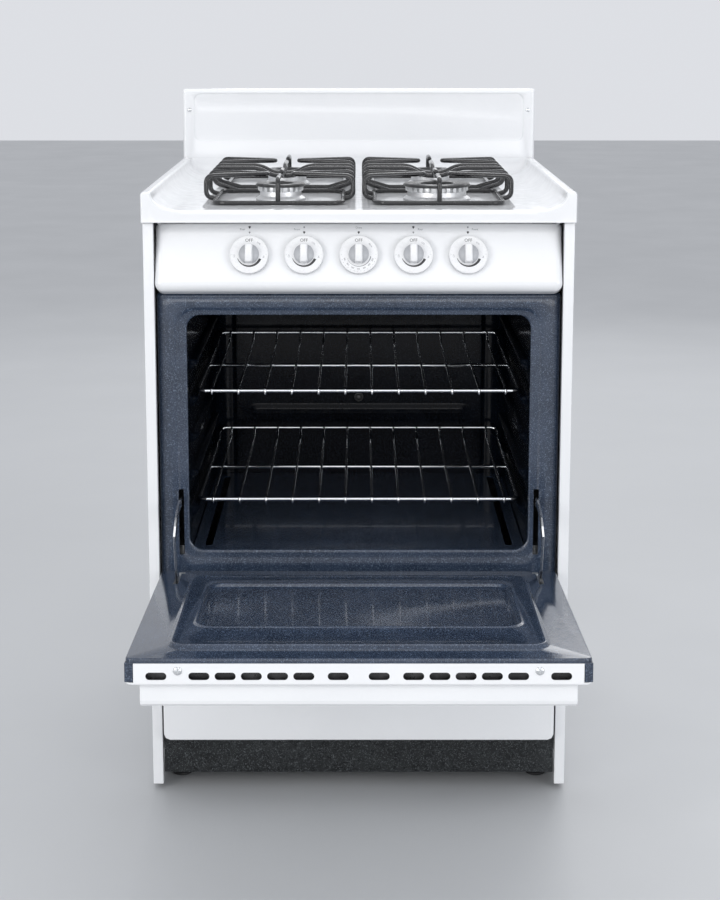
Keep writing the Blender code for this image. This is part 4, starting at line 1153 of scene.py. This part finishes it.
def door_shape(half, start, end, radius):
    """A rounded rectangle on the door, from its half width and two distances from the hinge."""
    return ((-half, -end), (half, -start), radius)


def hinge_notches(bm):
    round_arms(bm, 0.0065, (-0.018, -0.05), (0.01, 0.08))


def corner_cut(bm, sign, gap):
    """The block at one end of the door's free edge where the dark liner rolls down."""
    inner, outer, deep = 0.2755 - gap, 0.2862 + gap * 4, 0.4177 + gap * 4
    outline = [(sign * outer, -deep), (sign * outer, -0.4), (sign * inner, -0.4),
               (sign * inner, -deep)]
    slab(bm, outline, -0.0075 - gap, LINER_Z + 0.001 + gap)


def liner_corner(name, sign):
    bm = bmesh.new()
    corner_cut(bm, sign, 0.0)
    corner = make("door_liner_corner_" + name, bm, "dark_enamel", DOOR)
    soften(corner, 0.0012, 3)
    trim(corner, "door_liner")


def door_outer():
    """The white pan, whose free edge holds a row of vent slots with a dark strip behind them."""
    half = -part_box("door_outer_panel")[0].x
    bottom, top, roll = -0.0115, LINER_Z - 0.0003, 0.003
    outline = door_shape(half, 0.0, DOOR_LONG, 0.01)
    rows = [(outline, -0.006, top), (outline, -0.0006, top), (outline, 0, top - 0.0008),
            (outline, 0, bottom + roll)]
    rows += [(outline, -inset, bottom + left) for inset, left in quarter(roll, 6, 1)]
    bm = bmesh.new()
    pressing(bm, [*rows, (outline, -0.03, bottom)])
    obj = make("door_pan", bm, "white_enamel", DOOR, smooth=50)
    thicken(obj, SHEET)
    holes = bmesh.new()
    hinge_notches(holes)
    long_half, high_half, middle = 0.0128, 0.00475, 0.0002
    for x in (0.025, 0.067, 0.099, 0.131, 0.163, 0.195, 0.2475):
        for _, sign in SIDES:
            vent = rounded_ring((sign * x - long_half, middle - high_half),
                                (sign * x + long_half, middle + high_half), high_half - 0.0001, 8)
            slab(holes, vent, -DOOR_LONG - 0.01, -DOOR_LONG + 0.01, along_y)
    for name, sign in SIDES:
        corner_cut(holes, sign, 0.0003)
        liner_corner(name, sign)
    carve(obj, holes)
    stands_for(obj, "door_outer_panel")
    bm = bmesh.new()
    shield = rounded_ring((-0.272, -0.0085), (0.272, 0.014), 0.003, 3)
    slab(bm, shield, -DOOR_LONG + 0.0085, -DOOR_LONG + 0.0095, along_y)
    trim(make("door_vent_shield", bm, "cap_enamel", DOOR), "door_outer_panel")


def door_liner():
    """The enamelled inner pan: rolled rim, flange, raised plug and dished middle."""
    half, edge = -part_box("door_liner")[0].x, 0.001
    outline = door_shape(half, edge, DOOR_LONG - edge, 0.009)
    start, end, plug_half, rise = PLUG
    plug = door_shape(plug_half, start, end, 0.02)
    start, end, dish_half, depth = DISH
    dish = door_shape(dish_half, start, end, 0.02)
    top = DOOR_IN + rise
    rows = [(outline, -0.005, LINER_Z), (outline, 0, LINER_Z)]
    rows += [(outline, -inset, DOOR_IN - under) for inset, under in (
        (0, 0.0026), (0.0003, 0.0012), (0.0011, 0.0003), (0.0026, 0))]
    rows += [(plug, 0.005, DOOR_IN), (plug, 0.003, DOOR_IN + 0.0007)]
    rows += [(plug, amount, top - under) for amount, under in (
        (0.001, 0.0026), (0, 0.001), (-0.0012, 0.0002), (-0.0028, 0), (-0.006, 0.0004),
        (-0.011, 0.0012))]
    rows += [(dish, amount, top + over) for amount, over in (
        (0.0085, -0.0012), (0.006, -0.0004), (0.0042, 0.0006), (0.0026, 0.0009),
        (0.001, 0.0004), (-0.0004, -0.001), (-0.0018, -0.0029), (-0.0036, -0.0038),
        (-0.0056, -depth))]
    bm = bmesh.new()
    pressing(bm, rows)
    obj = make("door_inner_pan", bm, "dark_enamel", DOOR, smooth=55)
    thicken(obj, 0.001)
    holes = bmesh.new()
    hinge_notches(holes)
    round_arms(holes, ARM_GAP, (-0.075, 0.0), (-0.012, 0.05))
    carve(obj, holes, True)
    stands_for(obj, "door_liner")


def door_screws():
    """Domed screws with a cross recess, in the door's free edge."""
    for side, _ in SIDES:
        bm = bmesh.new()
        lathe(bm, [(0.0, 0.0), (0.0054, 0.0), (0.0055, 0.0004), (0.0051, 0.001),
                   (0.004, 0.0016), (0.0022, 0.002), (0.0, 0.0021)], 36)
        place = facing_front("door_screw_" + side, DOOR_TILT)
        obj = make("edge_screw_" + side, bm, "bright_steel", place)
        for half_x, half_y in ((0.003, 0.0007), (0.0007, 0.003)):
            slot = bmesh.new()
            box(slot, (-half_x, -half_y, 0.0006), (half_x, half_y, 0.01))
            carve(obj, slot)
        stands_for(obj, "door_screw_" + side)


# ---- Stage ----


# Name, place, size, power and colour
LIGHTS = (("key", (-2.4, -2.9, 1.45), (1.6, 2.2), 40, (1.0, 0.99, 0.97)),
          ("fill", (2.6, -2.7, 1.25), (1.6, 2.0), 33, (0.97, 0.98, 1.0)),
          ("top", (0.2, 0.2, 3.3), (2.6, 2.6), 20, (1.0, 1.0, 1.0)),
          ("front", (0.0, -3.6, 2.6), (2.6, 1.2), 16, (1.0, 1.0, 1.0)),
          ("low", (0.0, -4.2, 0.34), (3.2, 0.4), 10, (1.0, 1.0, 1.0)),
          ("back", (0.6, 3.4, 2.2), (2.4, 1.8), 26, (1.0, 1.0, 1.0)))


def stage_floor():
    """A pale floor that reaches well past the view."""
    FINISH["floor"] = varied("floor_finish", (0.5, 0.51, 0.52), 0.3,
                             ((0.46, 0.47, 0.48), (0.52, 0.53, 0.54)), (1.2, 3.0),
                             (3.0, 3.0, 0.42, 0.52))
    bm = bmesh.new()
    box(bm, (-14, -14, -0.02), (14, 14, 0.0))
    make("floor", bm, "floor", Matrix.Identity(4))


def lights():
    """Even daylight from all round, and large soft lamps aimed at the range's middle."""
    world = bpy.data.worlds.new("studio")
    world.use_nodes = True
    background = world.node_tree.nodes["Background"]
    background.inputs["Color"].default_value = (0.93, 0.95, 1.0, 1)
    background.inputs["Strength"].default_value = 0.78
    bpy.context.scene.world = world
    target = Vector((0, 0, 0.55))
    for name, spot, size, power, color in LIGHTS:
        data = bpy.data.lights.new(name, "AREA")
        settle(data, shape="RECTANGLE", size=size[0], size_y=size[1], energy=power, color=color)
        aim = (target - Vector(spot)).to_track_quat("-Z", "Y")
        settle(add_object(name, data), location=spot, rotation_euler=aim.to_euler())


def front_camera():
    """A camera some 2.5 m before the front and a little above the cooktop, looking down."""
    data = bpy.data.cameras.new("camera")
    settle(data, lens=70.7, sensor_width=36.0, shift_x=0.0014, shift_y=-0.15)
    camera = add_object("camera", data)
    settle(camera, location=(0.0, FRONT_Y - 2.476, 1.131),
           rotation_euler=(radians(90 - 9.54), 0, 0))
    bpy.context.scene.camera = camera
    bpy.context.scene.view_settings.view_transform = "Standard"


def stage():
    stage_floor()
    lights()
    front_camera()


def build():
    """Draws every piece, bakes what is carved and sets the stage."""
    for step in (dress_kept_nodes, cooktop, backguard, front_frame, oven_liner,
                 burner_compartment, liner_fastener, levelling_feet, burners_and_grates,
                 control_panel, knobs, panel_marks, door_outer, door_liner, door_screws, racks,
                 apply_cuts, stage):
        step()


build()
